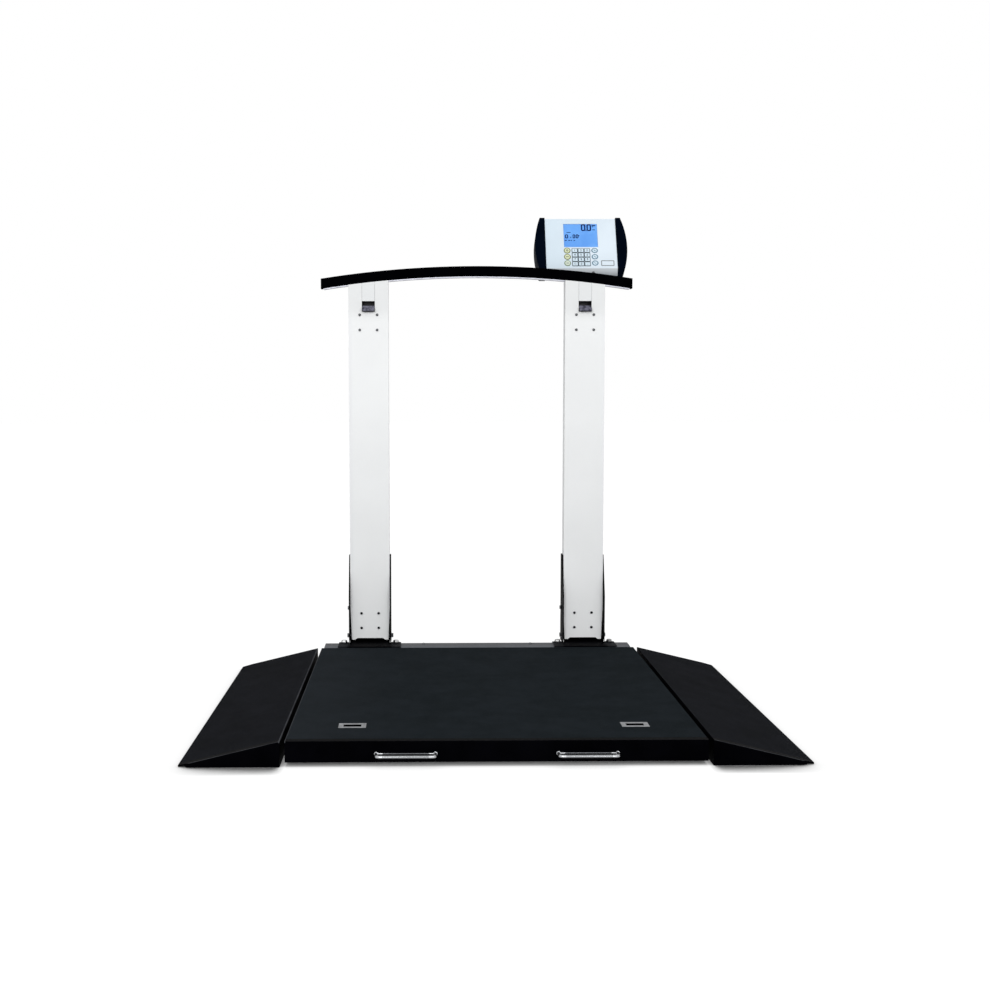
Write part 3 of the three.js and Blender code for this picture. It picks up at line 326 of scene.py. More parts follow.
def tread_paint(name, dark, light, highlight_x, lighter_left=False):
    """Deck and ramps: a gritty charcoal coat on top, smooth black sides, and thin painted highlight lines
    along the deck's left edge, the left ramp's inner edge and the ramps' front edges.
    """
    sheet = Sheet(name, specular=0.008)
    top = sheet.both(sheet.facing("Z", 0.8, 0.95), sheet.above("Y", deck_y(TREAD_FRONT)))
    slow = sheet.span(sheet.noise(0.09, 5.0, 0.65), 0.3, 0.7)
    grit = sheet.noise(0.0016, 3.0, 0.6)
    speck = sheet.span(sheet.noise(0.0035, 2.0), 0.52, 0.78)
    charcoal = sheet.blend(slow, dark, light)
    charcoal = sheet.blend(sheet.sums("MULTIPLY", speck, 0.22), charcoal, linear(44, 48, 52))
    # the tread gets lighter towards the deck's left edge
    if lighter_left:
        share = sheet.span(sheet.axis("Object", "X"), DECK_LIGHTER_FROM * MM, -DECK_HALF * MM, 0.0, 0.3)
        charcoal = sheet.blend(share, charcoal, linear(48, 51, 55))
    # painted highlight: thin light lines along the deck's left edge, the left ramp's inner edge and the
    # ramps' front edges
    along = sheet.both(sheet.above("X", highlight_x[0] * MM), sheet.below("X", highlight_x[1] * MM),
                       sheet.above("Z", HIGHLIGHT_Z * MM))
    across = sheet.both(sheet.below("Y", deck_y(DECK_FOLD)), sheet.facing("Z", 0.3, 0.6),
                        sheet.above("X", RAMP_START * MM, True))
    # the painted highlight lines, made patchy with noise
    highlight_lines = sheet.sums("MAXIMUM", along, across)
    patchy_highlight = sheet.sums("MULTIPLY", highlight_lines, sheet.span(sheet.noise(0.03, 3.0), 0.3, 0.7, 0.35, 0.6))
    smooth = sheet.blend(slow, linear(0, 0, 1), linear(2, 2, 4))
    coat = sheet.blend(top, smooth, charcoal)
    sheet.colour(sheet.blend(patchy_highlight, coat, linear(96, 98, 102)))
    rough = sheet.span(grit, 0.3, 0.7, 0.75, 0.95)
    sheet.rough(sheet.sums("SUBTRACT", rough, sheet.sums("MULTIPLY", sheet.sums("SUBTRACT", 1.0, top), 0.3)))
    fall = sheet.sums("ADD", sheet.sums("MULTIPLY", top, 0.85), 0.15)
    sheet.height(sheet.sums("MULTIPLY", grit, fall), 0.0006)
    return sheet.material


def column_coat():
    """White powder coat, with the inside painted near-black as painted shade."""
    sheet = Sheet("column_coat", specular=0.3)
    slow = sheet.span(sheet.noise(0.3, 3.0), 0.3, 0.7)
    fine = sheet.noise(0.0025, 3.0)
    white = sheet.blend(slow, linear(234, 235, 235), linear(240, 241, 241))
    white = sheet.blend(sheet.span(fine, 0.55, 0.8, 0.0, 0.3), white, linear(224, 226, 227))
    start, end = ((COLUMN_X + x) * MM for x in COLUMN_SHADE)
    outer = sheet.span(sheet.size_of(sheet.axis("Object", "X")), start, end)
    white = sheet.blend(outer, white, linear(233, 234, 235))
    # painted shade: the coat darker towards the column tops
    lift = sheet.span(sheet.axis("Object", "Z"), COLUMN_TOP_SHADE[0] * MM, COLUMN_TOP_SHADE[1] * MM)
    white = sheet.blend(lift, white, linear(225, 226, 226))
    inside = sheet.both(
        sheet.above("X", (COLUMN_X - COLUMN_INSIDE) * MM, True),
        sheet.below("X", (COLUMN_X + COLUMN_INSIDE) * MM, True),
        sheet.above("Y", deck_y(COLUMN_FRONT + 1)), sheet.below("Y", deck_y(COLUMN_REAR - 1)))
    # painted shade: the column's inside, seen through its openings, painted near-black
    inside_shade = sheet.blend(fine, linear(3, 3, 8), linear(10, 10, 16))
    sheet.colour(sheet.blend(inside, white, inside_shade))
    sheet.rough(sheet.span(fine, 0.3, 0.7, 0.4, 0.55))
    sheet.height(fine, 0.00006)
    return sheet.material


def latch_coat():
    """Latch housing: a white tongue at the column's face with its side faces painted grey as painted shade,
    zinc screws ahead of it, and the plate behind painted near-black as painted shade.
    """
    sheet = Sheet("latch_coat", specular=0.3)
    fine = sheet.noise(0.0016, 3.0)
    white = sheet.blend(fine, linear(216, 218, 219), linear(228, 229, 229))
    dark = sheet.blend(fine, linear(8, 8, 10), linear(20, 20, 22))
    zinc = sheet.blend(fine, linear(118, 120, 124), linear(164, 166, 168))
    # painted shade: the plate behind the column's face painted near-black
    behind_in_shade = sheet.above("Y", deck_y(COLUMN_FRONT + TONGUE_DEPTH))
    ahead = sheet.below("Y", deck_y(COLUMN_FRONT - HEAD_DEPTH))
    # painted shade: the tongue's side faces painted grey
    across = sheet.size_of(sheet.axis("Normal", "X"))
    tongue = sheet.blend(sheet.span(across, 0.7, 0.9), white, linear(84, 86, 90))
    sheet.colour(sheet.blend(ahead, sheet.blend(behind_in_shade, tongue, dark), zinc))
    sheet.rough(sheet.span(fine, 0.3, 0.7, 0.38, 0.5))
    sheet.height(fine, 0.00005)
    return sheet.material


def wheel_rubber():
    """Transport wheels: a rubber tyre round a pale moulded hub."""
    sheet = Sheet("wheel_rubber", specular=0.3)
    fine = sheet.noise(0.0012, 3.0)
    along = sheet.sums("SUBTRACT", sheet.axis("Object", "Y"), deck_y(WHEEL_Y))
    up = sheet.sums("SUBTRACT", sheet.axis("Object", "Z"), WHEEL_Z * MM)
    squares = sheet.sums("ADD", sheet.sums("MULTIPLY", along, along), sheet.sums("MULTIPLY", up, up))
    reach = sheet.sums("SQRT", squares, 0.0)
    tyre = sheet.blend(fine, linear(14, 14, 15), linear(30, 30, 31))
    hub = sheet.blend(fine, linear(120, 122, 126), linear(142, 144, 148))
    rim = sheet.span(reach, (HUB_RADIUS - 0.3) * MM, (HUB_RADIUS + 0.3) * MM)
    sheet.colour(sheet.blend(rim, hub, tyre))
    sheet.rough(sheet.span(fine, 0.3, 0.7, 0.55, 0.8))
    sheet.height(fine, 0.0002)
    return sheet.material


def rail_paint():
    """Grey satin coat, painted a little lighter on the half that slopes to the deck as painted light."""
    sheet = Sheet("rail_paint", specular=0.15)
    slow = sheet.span(sheet.noise(0.12, 3.0), 0.3, 0.7)
    fine = sheet.noise(0.0014, 3.0)
    # painted light: the sloping front half lighter than the rear half
    rear = sheet.blend(slow, linear(56, 58, 62), linear(70, 72, 76))
    front = sheet.blend(slow, linear(68, 71, 77), linear(84, 87, 93))
    sheet.colour(sheet.blend(sheet.below("Y", deck_y(RAIL_CREASE)), rear, front))
    sheet.rough(sheet.span(fine, 0.3, 0.7, 0.45, 0.6))
    sheet.height(fine, 0.0001)
    return sheet.material


def display_film():
    """Display window: a lit blue field."""
    sheet = Sheet("display_film", specular=0.25)
    slow = sheet.span(sheet.noise(0.05, 3.0), 0.3, 0.7)
    fine = sheet.noise(0.0008, 2.0)
    lit = sheet.blend(slow, linear(98, 160, 240), linear(114, 176, 250))
    lit = sheet.blend(sheet.span(fine, 0.5, 0.8, 0.0, 0.25), lit, linear(90, 148, 228))
    sheet.colour(lit)
    sheet.rough(sheet.span(fine, 0.3, 0.7, 0.22, 0.34))
    sheet.height(fine, 0.000008)
    return sheet.material


def case_film():
    """Front case: a cool white film on the face; the lip and sides painted grey as painted shade, darker
    towards the lower edge.
    """
    sheet = Sheet("case_film", specular=0.3)
    slow = sheet.span(sheet.noise(0.08, 3.0), 0.3, 0.7)
    fine = sheet.noise(0.0012, 3.0)
    right = sheet.span(sheet.axis("Object", "X"), FACE_ENDS[0] * MM, FACE_ENDS[1] * MM)
    face = sheet.blend(right, linear(218, 232, 242), linear(228, 239, 248))
    # painted shade: the lip grey, darker towards its lower edge
    lift = sheet.span(sheet.axis("Object", "Z"), LIP_SHADE_ENDS[0] * MM, LIP_SHADE_ENDS[1] * MM)
    lip_shade = sheet.blend(lift, linear(126, 130, 134), linear(204, 209, 213))
    both = sheet.blend(sheet.facing("Z", -0.1, 0.25), lip_shade, face)
    sheet.colour(sheet.blend(sheet.sums("MULTIPLY", slow, 0.25), both, linear(206, 218, 228)))
    sheet.rough(sheet.span(fine, 0.3, 0.7, 0.36, 0.46))
    sheet.height(fine, 0.00003)
    return sheet.material


def bracket_coat():
    """Column bracket: a black coat, dull on the foot beside the flanges,
    with a grey painted highlight on the flanges' left faces and a near-white painted glint at the front
    corners."""
    sheet = Sheet("bracket_coat", specular=0.01)
    slow = sheet.span(sheet.noise(0.1, 3.0), 0.3, 0.7)
    fine = sheet.noise(0.0012, 3.0)
    off = sheet.off_middle(COLUMN_X)
    low, high = (z * MM for z in BRACKET_CORNER_Z)
    foot = sheet.both(sheet.sums("GREATER_THAN", off, BRACKET_FOOT_X * MM), sheet.below("Z", low))
    black = sheet.blend(slow, linear(0, 0, 2), linear(5, 5, 7))
    grey = sheet.blend(slow, linear(22, 23, 26), linear(34, 35, 38))
    # painted highlight: the flanges' left faces painted grey
    left = sheet.both(sheet.facing("X", -0.6, -0.9), sheet.sums("GREATER_THAN", off, BRACKET_FLANGE_X * MM))
    left_face_highlight = sheet.blend(slow, linear(98, 99, 104), linear(132, 134, 140))
    # painted highlight: a near-white glint on the brackets' front corners
    corner = sheet.both(sheet.facing("Y", -0.6, -0.9),
                        sheet.sums("GREATER_THAN", off, BRACKET_GLINT_X[0] * MM),
                        sheet.sums("LESS_THAN", off, BRACKET_GLINT_X[1] * MM),
                        sheet.above("Z", low), sheet.below("Z", high))
    coat = sheet.blend(left, sheet.blend(foot, black, grey), left_face_highlight)
    sheet.colour(sheet.blend(corner, coat, linear(226, 227, 227)))
    sheet.rough(sheet.span(fine, 0.3, 0.7, 0.5, 0.65))
    sheet.height(fine, 0.0001)
    return sheet.material


def handle_chrome():
    """Chrome bar with a painted highlight at its ends and a painted shade on its underside, and a darker
    painted shade on the rod behind it.
    """
    sheet = Sheet("handle_chrome", metallic=1.0)
    marks = sheet.noise(0.0011, 4.0, 0.6)
    # painted highlight on the bar's ends; painted shade on the rod behind
    end_highlight = sheet.blend(marks, linear(164, 166, 169), linear(194, 196, 198))
    middle = sheet.blend(marks, linear(128, 130, 132), linear(150, 152, 154))
    rod_shade = sheet.blend(marks, linear(76, 77, 80), linear(98, 100, 103))
    outer = sheet.sums("GREATER_THAN", sheet.off_middle(HANDLE_X), HANDLE_HIGHLIGHT_FROM * MM)
    front = sheet.blend(sheet.above("Y", deck_y(HANDLE_ROD)), middle, rod_shade)
    front = sheet.blend(outer, front, end_highlight)
    # painted shade: the bar's underside darker
    sheet.colour(sheet.blend(sheet.facing("Z", -0.1, -0.7), front, linear(64, 65, 68)))
    sheet.rough(sheet.span(marks, 0.3, 0.7, 0.24, 0.36))
    sheet.height(marks, 0.000008)
    return sheet.material


def plate_steel(name, dark, light, streak, front=False):
    """Worn steel, seen on flat faces and on front ones too where asked: fine marks along x and uneven tone;
    the other faces, cut edges and slot walls, painted near-black as painted shade."""
    sheet = Sheet(name, metallic=1.0)
    marks = sheet.noise(0.0011, 4.0, 0.6, (streak, 1, 1))
    patch = sheet.span(sheet.noise(0.011, 4.0, 0.65), 0.36, 0.64)
    worn = sheet.blend(sheet.mixed(patch, marks, 0.6), dark, light)
    flat = sheet.size_of(sheet.axis("Normal", "Z"))
    if front:
        flat = sheet.sums("MAXIMUM", flat, sheet.size_of(sheet.axis("Normal", "Y")))
    # painted shade: faces other than the flat and, where asked, front ones painted near-black
    shown = sheet.span(flat, 0.5, 0.8)
    sheet.colour(sheet.blend(shown, linear(12, 12, 14), worn))
    sheet.rough(sheet.span(marks, 0.3, 0.7, 0.36, 0.55))
    sheet.height(marks, 0.00005)
    return sheet.material


def film(name, dark, light):
    return coated(name, dark, light, 0.38, 0.001, 0.00003, 0.02)


def ink_print(name, dark, light):
    return coated(name, dark, light, 0.45, 0.0008, 0.00001, 0.02)


finishes = {
    "deck": tread_paint("deck_tread", linear(24, 29, 32), linear(30, 35, 39), DECK_HIGHLIGHT_X, lighter_left=True),
    "ramp": tread_paint("ramp_tread", linear(20, 21, 24), linear(26, 27, 31), RAMP_HIGHLIGHT_X),
    "black": coated("black_coat", linear(1, 1, 3), linear(7, 7, 9), 0.5, 0.0012, 0.00012, specular=0.02),
    "rail": rail_paint(),
    "white": column_coat(),
    "latch": latch_coat(),
    "case": case_film(),
    "shell": coated("shell_plastic", linear(196, 201, 206), linear(210, 214, 218), 0.5, 0.0012, 0.0001, 0.05),
    "cap": coated("cap_plastic", linear(0, 4, 13), linear(3, 10, 24), 0.5, 0.0011, 0.00015, 0.06, 0.008),
    "grip": coated("grip_rubber", linear(0, 0, 1), linear(2, 2, 4), 0.65, 0.0013, 0.0003, 0.05, 0.003),
    "tyre": wheel_rubber(),
    "box": coated("box_plastic", linear(22, 22, 24), linear(32, 32, 34), 0.55, 0.001, 0.0001, 0.03),
    "plate": plate_steel("plate_steel", linear(108, 110, 113), linear(150, 152, 155), 0.06),
    "hook": plate_steel("hook_steel", linear(16, 16, 26), linear(88, 88, 99), 0.2, front=True),
    "steel": brushed("bolt_steel", linear(110, 112, 116), linear(150, 152, 156), 0.35, (1, 1, 0.3)),
    "alloy": brushed("cell_alloy", linear(176, 178, 182), linear(205, 207, 210), 0.38, (1, 0.06, 1)),
    "strip": brushed("strip_alloy", linear(140, 141, 149), linear(168, 169, 176), 0.45, (0.05, 1, 1)),
    "chrome": handle_chrome(),
    "bracket": bracket_coat(),
    "key": film("key_film", linear(208, 226, 238), linear(218, 234, 244)),
    "yellow": film("yellow_film", linear(214, 221, 178), linear(222, 229, 192)),
    "green": film("green_film", linear(212, 222, 204), linear(220, 230, 214)),
    "olive": ink_print("olive_print", linear(116, 118, 62), linear(132, 134, 76)),
    "sage": ink_print("sage_print", linear(122, 142, 110), linear(138, 158, 126)),
    "blue": ink_print("blue_print", linear(84, 120, 140), linear(100, 136, 156)),
    "grey": ink_print("grey_print", linear(70, 84, 92), linear(86, 99, 107)),
    "label": ink_print("label_print", linear(106, 112, 116), linear(120, 126, 130)),
    "ink": coated("dark_print", linear(24, 40, 50), linear(38, 54, 64), 0.5, 0.0008, 0.00001, 0.02),
    "crystal": coated("crystal_print", linear(6, 24, 78), linear(12, 34, 96),
                      0.4, 0.0008, 0.00001, 0.02, 0.05),
    "display": display_film(),
    "zinc": brushed("fastener_zinc", linear(104, 104, 106), linear(150, 150, 150), 0.34, (1, 1, 0.5)),
    "dark_zinc": brushed("dark_zinc", linear(66, 67, 70), linear(104, 105, 108), 0.4, (1, 1, 0.5)),
    "crown": brushed("crown_zinc", linear(34, 34, 36), linear(206, 206, 206), 0.34, (0.4, 0.4, 0.4)),
    "black_zinc": brushed("black_zinc", linear(22, 22, 25), linear(44, 44, 48), 0.45, (1, 1, 0.5)),
    "rubber": coated("plug_rubber", linear(56, 57, 60), linear(74, 75, 78), 0.7, 0.0008, 0.0001, 0.02),
}


def dress(node, finish, edge, rounds=2, smooth=False):
    """Gives a frame node its finish, and rounds its sharp edges."""
    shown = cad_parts[node]
    shown.data.materials.clear()
    shown.data.materials.append(finishes[finish])
    shown.data.polygons.foreach_set("use_smooth", [smooth] * len(shown.data.polygons))
    weld = shown.modifiers.new("weld", "WELD")
    weld.merge_threshold = 0.00002
    flat = shown.modifiers.new("flat", "DECIMATE")
    flat.decimate_type = "DISSOLVE"
    flat.angle_limit = math.radians(0.1)
    bevel = shown.modifiers.new("edges", "BEVEL")
    bevel.width = edge
    bevel.segments = rounds
    bevel.limit_method = "ANGLE"
    bevel.angle_limit = math.radians(32)
    bevel.use_clamp_overlap = True
    bevel.harden_normals = smooth


dress("platform_deck", "deck", 0.0008)
dress("rear_rail", "rail", 0.001)
dress("junction_box", "box", 0.001)
dress("handrail_grip", "grip", 0.0004, smooth=True)
dress("handrail_strip", "strip", 0.0006)
dress("indicator_bracket", "black", 0.0006)
dress("tilt_bolt", "steel", 0.0006, smooth=True)
dress("indicator_front_case", "case", 0.0006)
dress("indicator_back_case", "shell", 0.0006)
dress("display_module", "display", 0.0003)
for corner in CORNERS:
    dress("load_cell_" + corner, "alloy", 0.0005)
    dress("levelling_foot_" + corner, "steel", 0.0005, smooth=True)
for side in SIDES:
    dress("ramp_" + side, "ramp", 0.0012)
    dress("strike_plate_" + side, "plate", 0.0002)
    dress("front_handle_" + side, "chrome", 0.0003, smooth=True)
    dress("transport_wheel_" + side, "tyre", 0.0008, smooth=True)
    dress("column_" + side, "white", 0.0008)
    dress("lock_block_" + side, "dark_zinc", 0.0003)
    dress("latch_housing_" + side, "latch", 0.0003)
    dress("latch_hook_" + side, "hook", 0.0004)
    dress("column_bracket_" + side, "bracket", 0.0005)
    dress("pivot_bolt_" + side, "dark_zinc", 0.0005)
    dress("lock_pin_" + side, "dark_zinc", 0.0006)
    dress("indicator_end_cap_" + side, "cap", 0.0012, 3, smooth=True)
key_finishes = {"key_power": "yellow", "key_zero": "yellow", "key_tare": "green"}
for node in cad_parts:
    if node.startswith("key_"):
        dress(node, key_finishes.get(node, "key"), 0.0003)


# Pieces

def spot(x, y, z):
    """A place measured in millimetres from the middle of the deck and the floor."""
    return Matrix.Translation((x * MM, deck_y(y), z * MM))


def moved(x, y, z):
    """A shift in millimetres."""
    return Matrix.Translation((x * MM, y * MM, z * MM))


def turn(degrees, axis):
    return Matrix.Rotation(math.radians(degrees), 4, axis)


# Places whose z points away from a surface
TO_FRONT = turn(90, "X")
TO_REAR = turn(-90, "X")
INDICATOR = spot(*INDICATOR_AT) @ turn(-FACE_TILT, "X")
FACE = INDICATOR @ TO_FRONT
KEYS = FACE @ moved(KEYPAD_SHIFT, 0, 0)
LIP = INDICATOR @ turn(math.degrees(math.atan2(LIP_DEPTH, LIP_HEIGHT)), "X") @ TO_FRONT
BACK = INDICATOR @ moved(0, CASE_DEPTH, -REAR_DROP) @ turn(REAR_TILT, "X") @ TO_REAR


def lathe(form, place, profile, steps=24):
    """A profile of radii and heights in millimetres turned round z, then put in its place."""
    before = set(form.verts)
    made = [form.verts.new((r * MM, 0, h * MM)) for r, h in profile]
    edges = [form.edges.new(pair) for pair in zip(made, made[1:])]
    bmesh.ops.spin(form, geom=made + edges, cent=(0, 0, 0), axis=(0, 0, 1), angle=math.tau,
                   steps=steps, use_merge=True)
    whole = [vert for vert in form.verts if vert not in before]
    bmesh.ops.remove_doubles(form, verts=whole, dist=0.000001)
    whole = [vert for vert in whole if vert.is_valid]
    bmesh.ops.transform(form, matrix=place, verts=whole)


def outline(form, points):
    """A flat face with its corners at points in millimetres."""
    ring = bmesh.ops.create_circle(form, cap_ends=True, segments=len(points), radius=1)["verts"]
    for vert, (x, y) in zip(ring, points):
        vert.co = (x * MM, y * MM, 0)
    return ring[0].link_faces[0]


def thicken(form, place, faces, thick):
    """Gives flat faces a thickness upwards and puts them in their place."""
    low = {vert for face in faces for vert in face.verts}
    up = bmesh.ops.extrude_face_region(form, geom=faces)
    tops = [item for item in up["geom"] if isinstance(item, bmesh.types.BMVert)]
    bmesh.ops.translate(form, verts=tops, vec=(0, 0, thick * MM))
    bmesh.ops.transform(form, matrix=place, verts=list(low) + tops)


def flat_shape(form, place, points):
    """A printed shape with a given outline."""
    thicken(form, place, [outline(form, points)], PRINT)


def bar_shape(form, place, length, high, tip):
    """A printed bar with pointed ends, as on a segment display."""
    end, half = length / 2, high / 2
    flat_shape(form, place, [(tip - end, -half), (end - tip, -half), (end, 0),
                             (end - tip, half), (tip - end, half), (-end, 0)])


def ring_shape(form, place, radius, width, thick=PRINT, stretch=1.0, steps=28):
    """A flat ring or oval ring, raised from the surface."""
    low, high = radius - width / 2, radius + width / 2
    profile = [(low, 0), (low, thick), (high, thick), (high, 0), (low, 0)]
    lathe(form, place @ Matrix.Diagonal((stretch, 1, 1, 1)), profile, steps)


def frame_shape(form, place, wide, high, width, thick=PRINT, corner=1.2):
    """A flat rectangular frame with cut corners, raised from the surface."""
    a, b, c = wide / 2, high / 2, corner
    middle = outline(form, [(a, -b + c), (a, b - c), (a - c, b), (-a + c, b),
                            (-a, b - c), (-a, -b + c), (-a + c, -b), (a - c, -b)])
    band = bmesh.ops.inset_region(form, faces=[middle], thickness=width * MM, use_even_offset=True,
                                   use_boundary=True)["faces"]
    bmesh.ops.delete(form, geom=[middle], context="FACES_ONLY")
    thicken(form, place, band, thick)


def writing(form, place, text, size):
    """Plain digits or signs as a thin raised print, centred on the place."""
    curve = bpy.data.curves.new("writing", "FONT")
    curve.body = text
    curve.size = size * MM
    curve.align_x = "CENTER"
    curve.align_y = "CENTER"
    curve.extrude = LETTER_DEPTH * MM
    curve.offset = size * MM * LETTER_BOLD
    holder = bpy.data.objects.new("writing", curve)
    bpy.context.scene.collection.objects.link(holder)
    mesh = bpy.data.meshes.new_from_object(holder.evaluated_get(bpy.context.evaluated_depsgraph_get()))
    mesh.transform(place)
    form.from_mesh(mesh)
    bpy.data.objects.remove(holder)
    bpy.data.curves.remove(curve)
    bpy.data.meshes.remove(mesh)


def piece(name, form, finish, body, smooth=False):
    """Makes an object of a form, which rides on a body."""
    bmesh.ops.recalc_face_normals(form, faces=form.faces)
    mesh = bpy.data.meshes.new(name)
    form.to_mesh(mesh)
    form.free()
    mesh.materials.append(finishes[finish])
    made = bpy.data.objects.new(name, mesh)
    bpy.context.scene.collection.objects.link(made)
    if smooth:
        mesh.polygons.foreach_set("use_smooth", [True] * len(mesh.polygons))
        mesh.set_sharp_from_angle(angle=math.radians(35))
    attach(made, body)


SCREW = [(0, 1.3), (0.9, 1.25), (1.1, 2.1), (2.0, 2.0), (3.0, 1.6), (3.7, 0.9), (3.9, 0.2), (3.9, 0), (0, 0)]
BOLT_WASHER = [(4.2, 0.1), (10.8, 0.1), (11.2, 0.5), (11.2, 1.5), (10.8, 1.9), (4.2, 1.9), (4.2, 0.1)]
BOLT_CROWN = [(0, 8.2), (5.8, 8.2), (7.6, 7.6), (8.4, 6.4), (8.4, 1.8), (0, 1.8)]
SOCKET_SCREW = [(0, 1.2), (1.6, 1.2), (1.6, 2.8), (3.0, 2.8), (4.2, 2.2), (4.8, 1.0), (4.8, 0.05), (0, 0.05)]
SUNK_SCREW = [(0, 0.05), (0.9, 0.05), (1.1, 0.3), (2.9, 0.3), (3.2, 0.1), (3.2, 0.02), (0, 0.02)]
AXLE_CAP = [(0, 2.4), (3.4, 2.2), (5.6, 1.2), (6.2, 0.1), (0, 0.1)]
LIP_PLUG = [(0, 2.6), (3, 2.3), (4.4, 1.2), (5.1, 0.05), (0, 0.05)]


def cluster(name, places, profile, finish, body, steps=24):
    """Turned parts of one profile at several places, as one piece."""
    form = bmesh.new()
    for place in places:
        lathe(form, place, profile, steps)
    piece(name, form, finish, body, smooth=True)


for side, sign in zip(SIDES, (-1, 1)):
    middle = sign * COLUMN_X
    for part, heights, finish in (("lock", LOCK_SCREWS, "black_zinc"), ("latch", LATCH_SCREWS, "dark_zinc")):
        heads = [spot(middle + end * SCREW_SPACING / 2, COLUMN_FRONT - SCREW_SEAT, z) @ TO_FRONT
                 for z in heights for end in (-1, 1)]
        cluster(part + "_screw_heads_" + side, heads, SCREW, finish, "column_frame")
    bolts = [spot(middle + end * EAR_BOLT_X, EAR_BOLT_Y, BASE_TOP) for end in (-1, 1)]
    cluster("ear_washers_" + side, bolts, BOLT_WASHER, "black_zinc", "base", steps=28)
    crowns = [place @ turn(15 * index, "Z") for index, place in enumerate(bolts)]
    cluster("ear_bolts_" + side, crowns, BOLT_CROWN, "crown", "base", steps=6)
    rail_bolt = [spot(sign * RAIL_BOLT_X, RAIL_BOLT_Y, DECK_TOP)]
    cluster("rail_screw_" + side, rail_bolt, SOCKET_SCREW, "dark_zinc", "base")
    plate_screws = [spot(middle + end * STRIKE_SCREW_X, STRIKE_Y, DECK_TOP + STRIKE_RISE) for end in (-1, 1)]
    cluster("strike_screws_" + side, plate_screws, SUNK_SCREW, "zinc", "base")
    caps = [spot(sign * WHEEL_X + end * AXLE_END, WHEEL_Y, WHEEL_Z) @ turn(end * 90, "Y") for end in (-1, 1)]
    cluster("axle_caps_" + side, caps, AXLE_CAP, "zinc", "base")

back_screws = [BACK @ moved(x, -z, 0) for x in (-BACK_SCREW_X, BACK_SCREW_X) for z in BACK_SCREW_Z]
cluster("case_screws", back_screws, SOCKET_SCREW, "dark_zinc", "indicator")
cluster("lip_plug", [LIP @ moved(*LIP_PLUG_AT, 0)], LIP_PLUG, "rubber", "indicator")


def number_key(column, row, lift=0):
    """The middle of a number key, columns from -1 to 1 and rows from below."""
    return KEYS @ moved(NUMBER_PITCH[0] * column, NUMBER_START + NUMBER_PITCH[1] * row, lift)


def function_key(side, row, lift=0):
    """The middle of a round key on the left (-1) or an oval key on the right (1)."""
    return KEYS @ moved(side * FUNCTION_X, FUNCTION_START + FUNCTION_PITCH * row, lift)


def print_on_key(key, form, finish, name="print_"):
    piece(name + key, form, finish, "key_" + key)


numbers = bmesh.new()
for row in range(4):
    for column in (-1, 0, 1):
        frame_shape(numbers, number_key(column, row), NUMBER_PITCH[0] - FRAME_GAP,
                    NUMBER_PITCH[1] - FRAME_GAP, FRAME_LINE, CASE_PRINT)
piece("number_key_frames", numbers, "grey", "indicator")

for name, rows, finish in (("yellow_rings", (1, 2), "olive"), ("green_ring", (0,), "sage")):
    rings = bmesh.new()
    for row in rows:
        ring_shape(rings, function_key(-1, row), *CASE_RING, CASE_PRINT)
    piece(name, rings, finish, "indicator")

for row, (key, finish) in enumerate((("tare", "sage"), ("zero", "olive"), ("power", "olive"))):
    form = bmesh.new()
    ring_shape(form, function_key(-1, row, KEY_TOP), *KEY_RING)
    print_on_key(key, form, finish, "key_ring_")

for index, key in enumerate(("clear", "0", "point", "7", "8", "9", "4", "5", "6", "1", "2", "3")):
    form = bmesh.new()
    at = number_key(index % 3 - 1, index // 3, KEY_TOP)
    frame_shape(form, at, *KEY_FRAME, KEY_LINE)
    if key == "clear":
        ring_shape(form, at, *CLEAR_RING)
    else:
        writing(form, at, "." if key == "point" else key, LETTER_SIZE)
    print_on_key(key, form, "ink")

for row, key in enumerate(("tare", "zero", "power")):
    form = bmesh.new()
    at = function_key(-1, row, KEY_TOP)
    if key == "power":
        ring_shape(form, at, *POWER_RING)
    else:
        bar_shape(form, at, BAR_LENGTH, BAR_HEIGHTS[row], BAR_TIP)
    print_on_key(key, form, "ink")

for row, key in enumerate(("enter", "hold", "units")):
    form = bmesh.new()
    at = function_key(1, row, KEY_TOP)
    ring_shape(form, at, *OVAL_RING, stretch=OVAL_STRETCH)
    bar_shape(form, at @ turn(OVAL_SLANT, "Z"), BAR_LENGTH, BAR_HEIGHTS[row], BAR_TIP)
    print_on_key(key, form, "blue")


def on_glass(x, y):
    """A place on the display, from the middle of the case's lower edge."""
    return FACE @ moved(x, y, -GLASS_DEPTH)


figures = bmesh.new()
for x in LARGE_X:
    frame_shape(figures, on_glass(x, LARGE_Y), *LARGE_SIZE, LARGE_LINE, corner=LARGE_CORNER)
flat_shape(figures, on_glass(*POINT_AT), [(-POINT_HALF, -POINT_HALF), (POINT_HALF, -POINT_HALF),
                                          (POINT_HALF, POINT_HALF), (-POINT_HALF, POINT_HALF)])
for x, y, length, high in DISPLAY_MARKS:
    bar_shape(figures, on_glass(x, y), length, high, MARK_TIP)
for x, wide in SMALL_X:
    frame_shape(figures, on_glass(x, SMALL_Y), wide, SMALL_HEIGHT, SMALL_LINE, corner=SMALL_CORNER)
bar_shape(figures, on_glass(*TICK_AT) @ turn(90, "Z"), *TICK_SIZE)
bar_shape(figures, on_glass(*DASH_AT), *DASH_SIZE)
piece("display_digits", figures, "crystal", "indicator")

blank = bmesh.new()
frame_shape(blank, FACE @ moved(*LABEL_AT, 0), *LABEL_SIZE, LABEL_LINE, LABEL_PRINT, LABEL_CORNER)
piece("blank_label", blank, "label", "indicator")


# Floor, light and camera

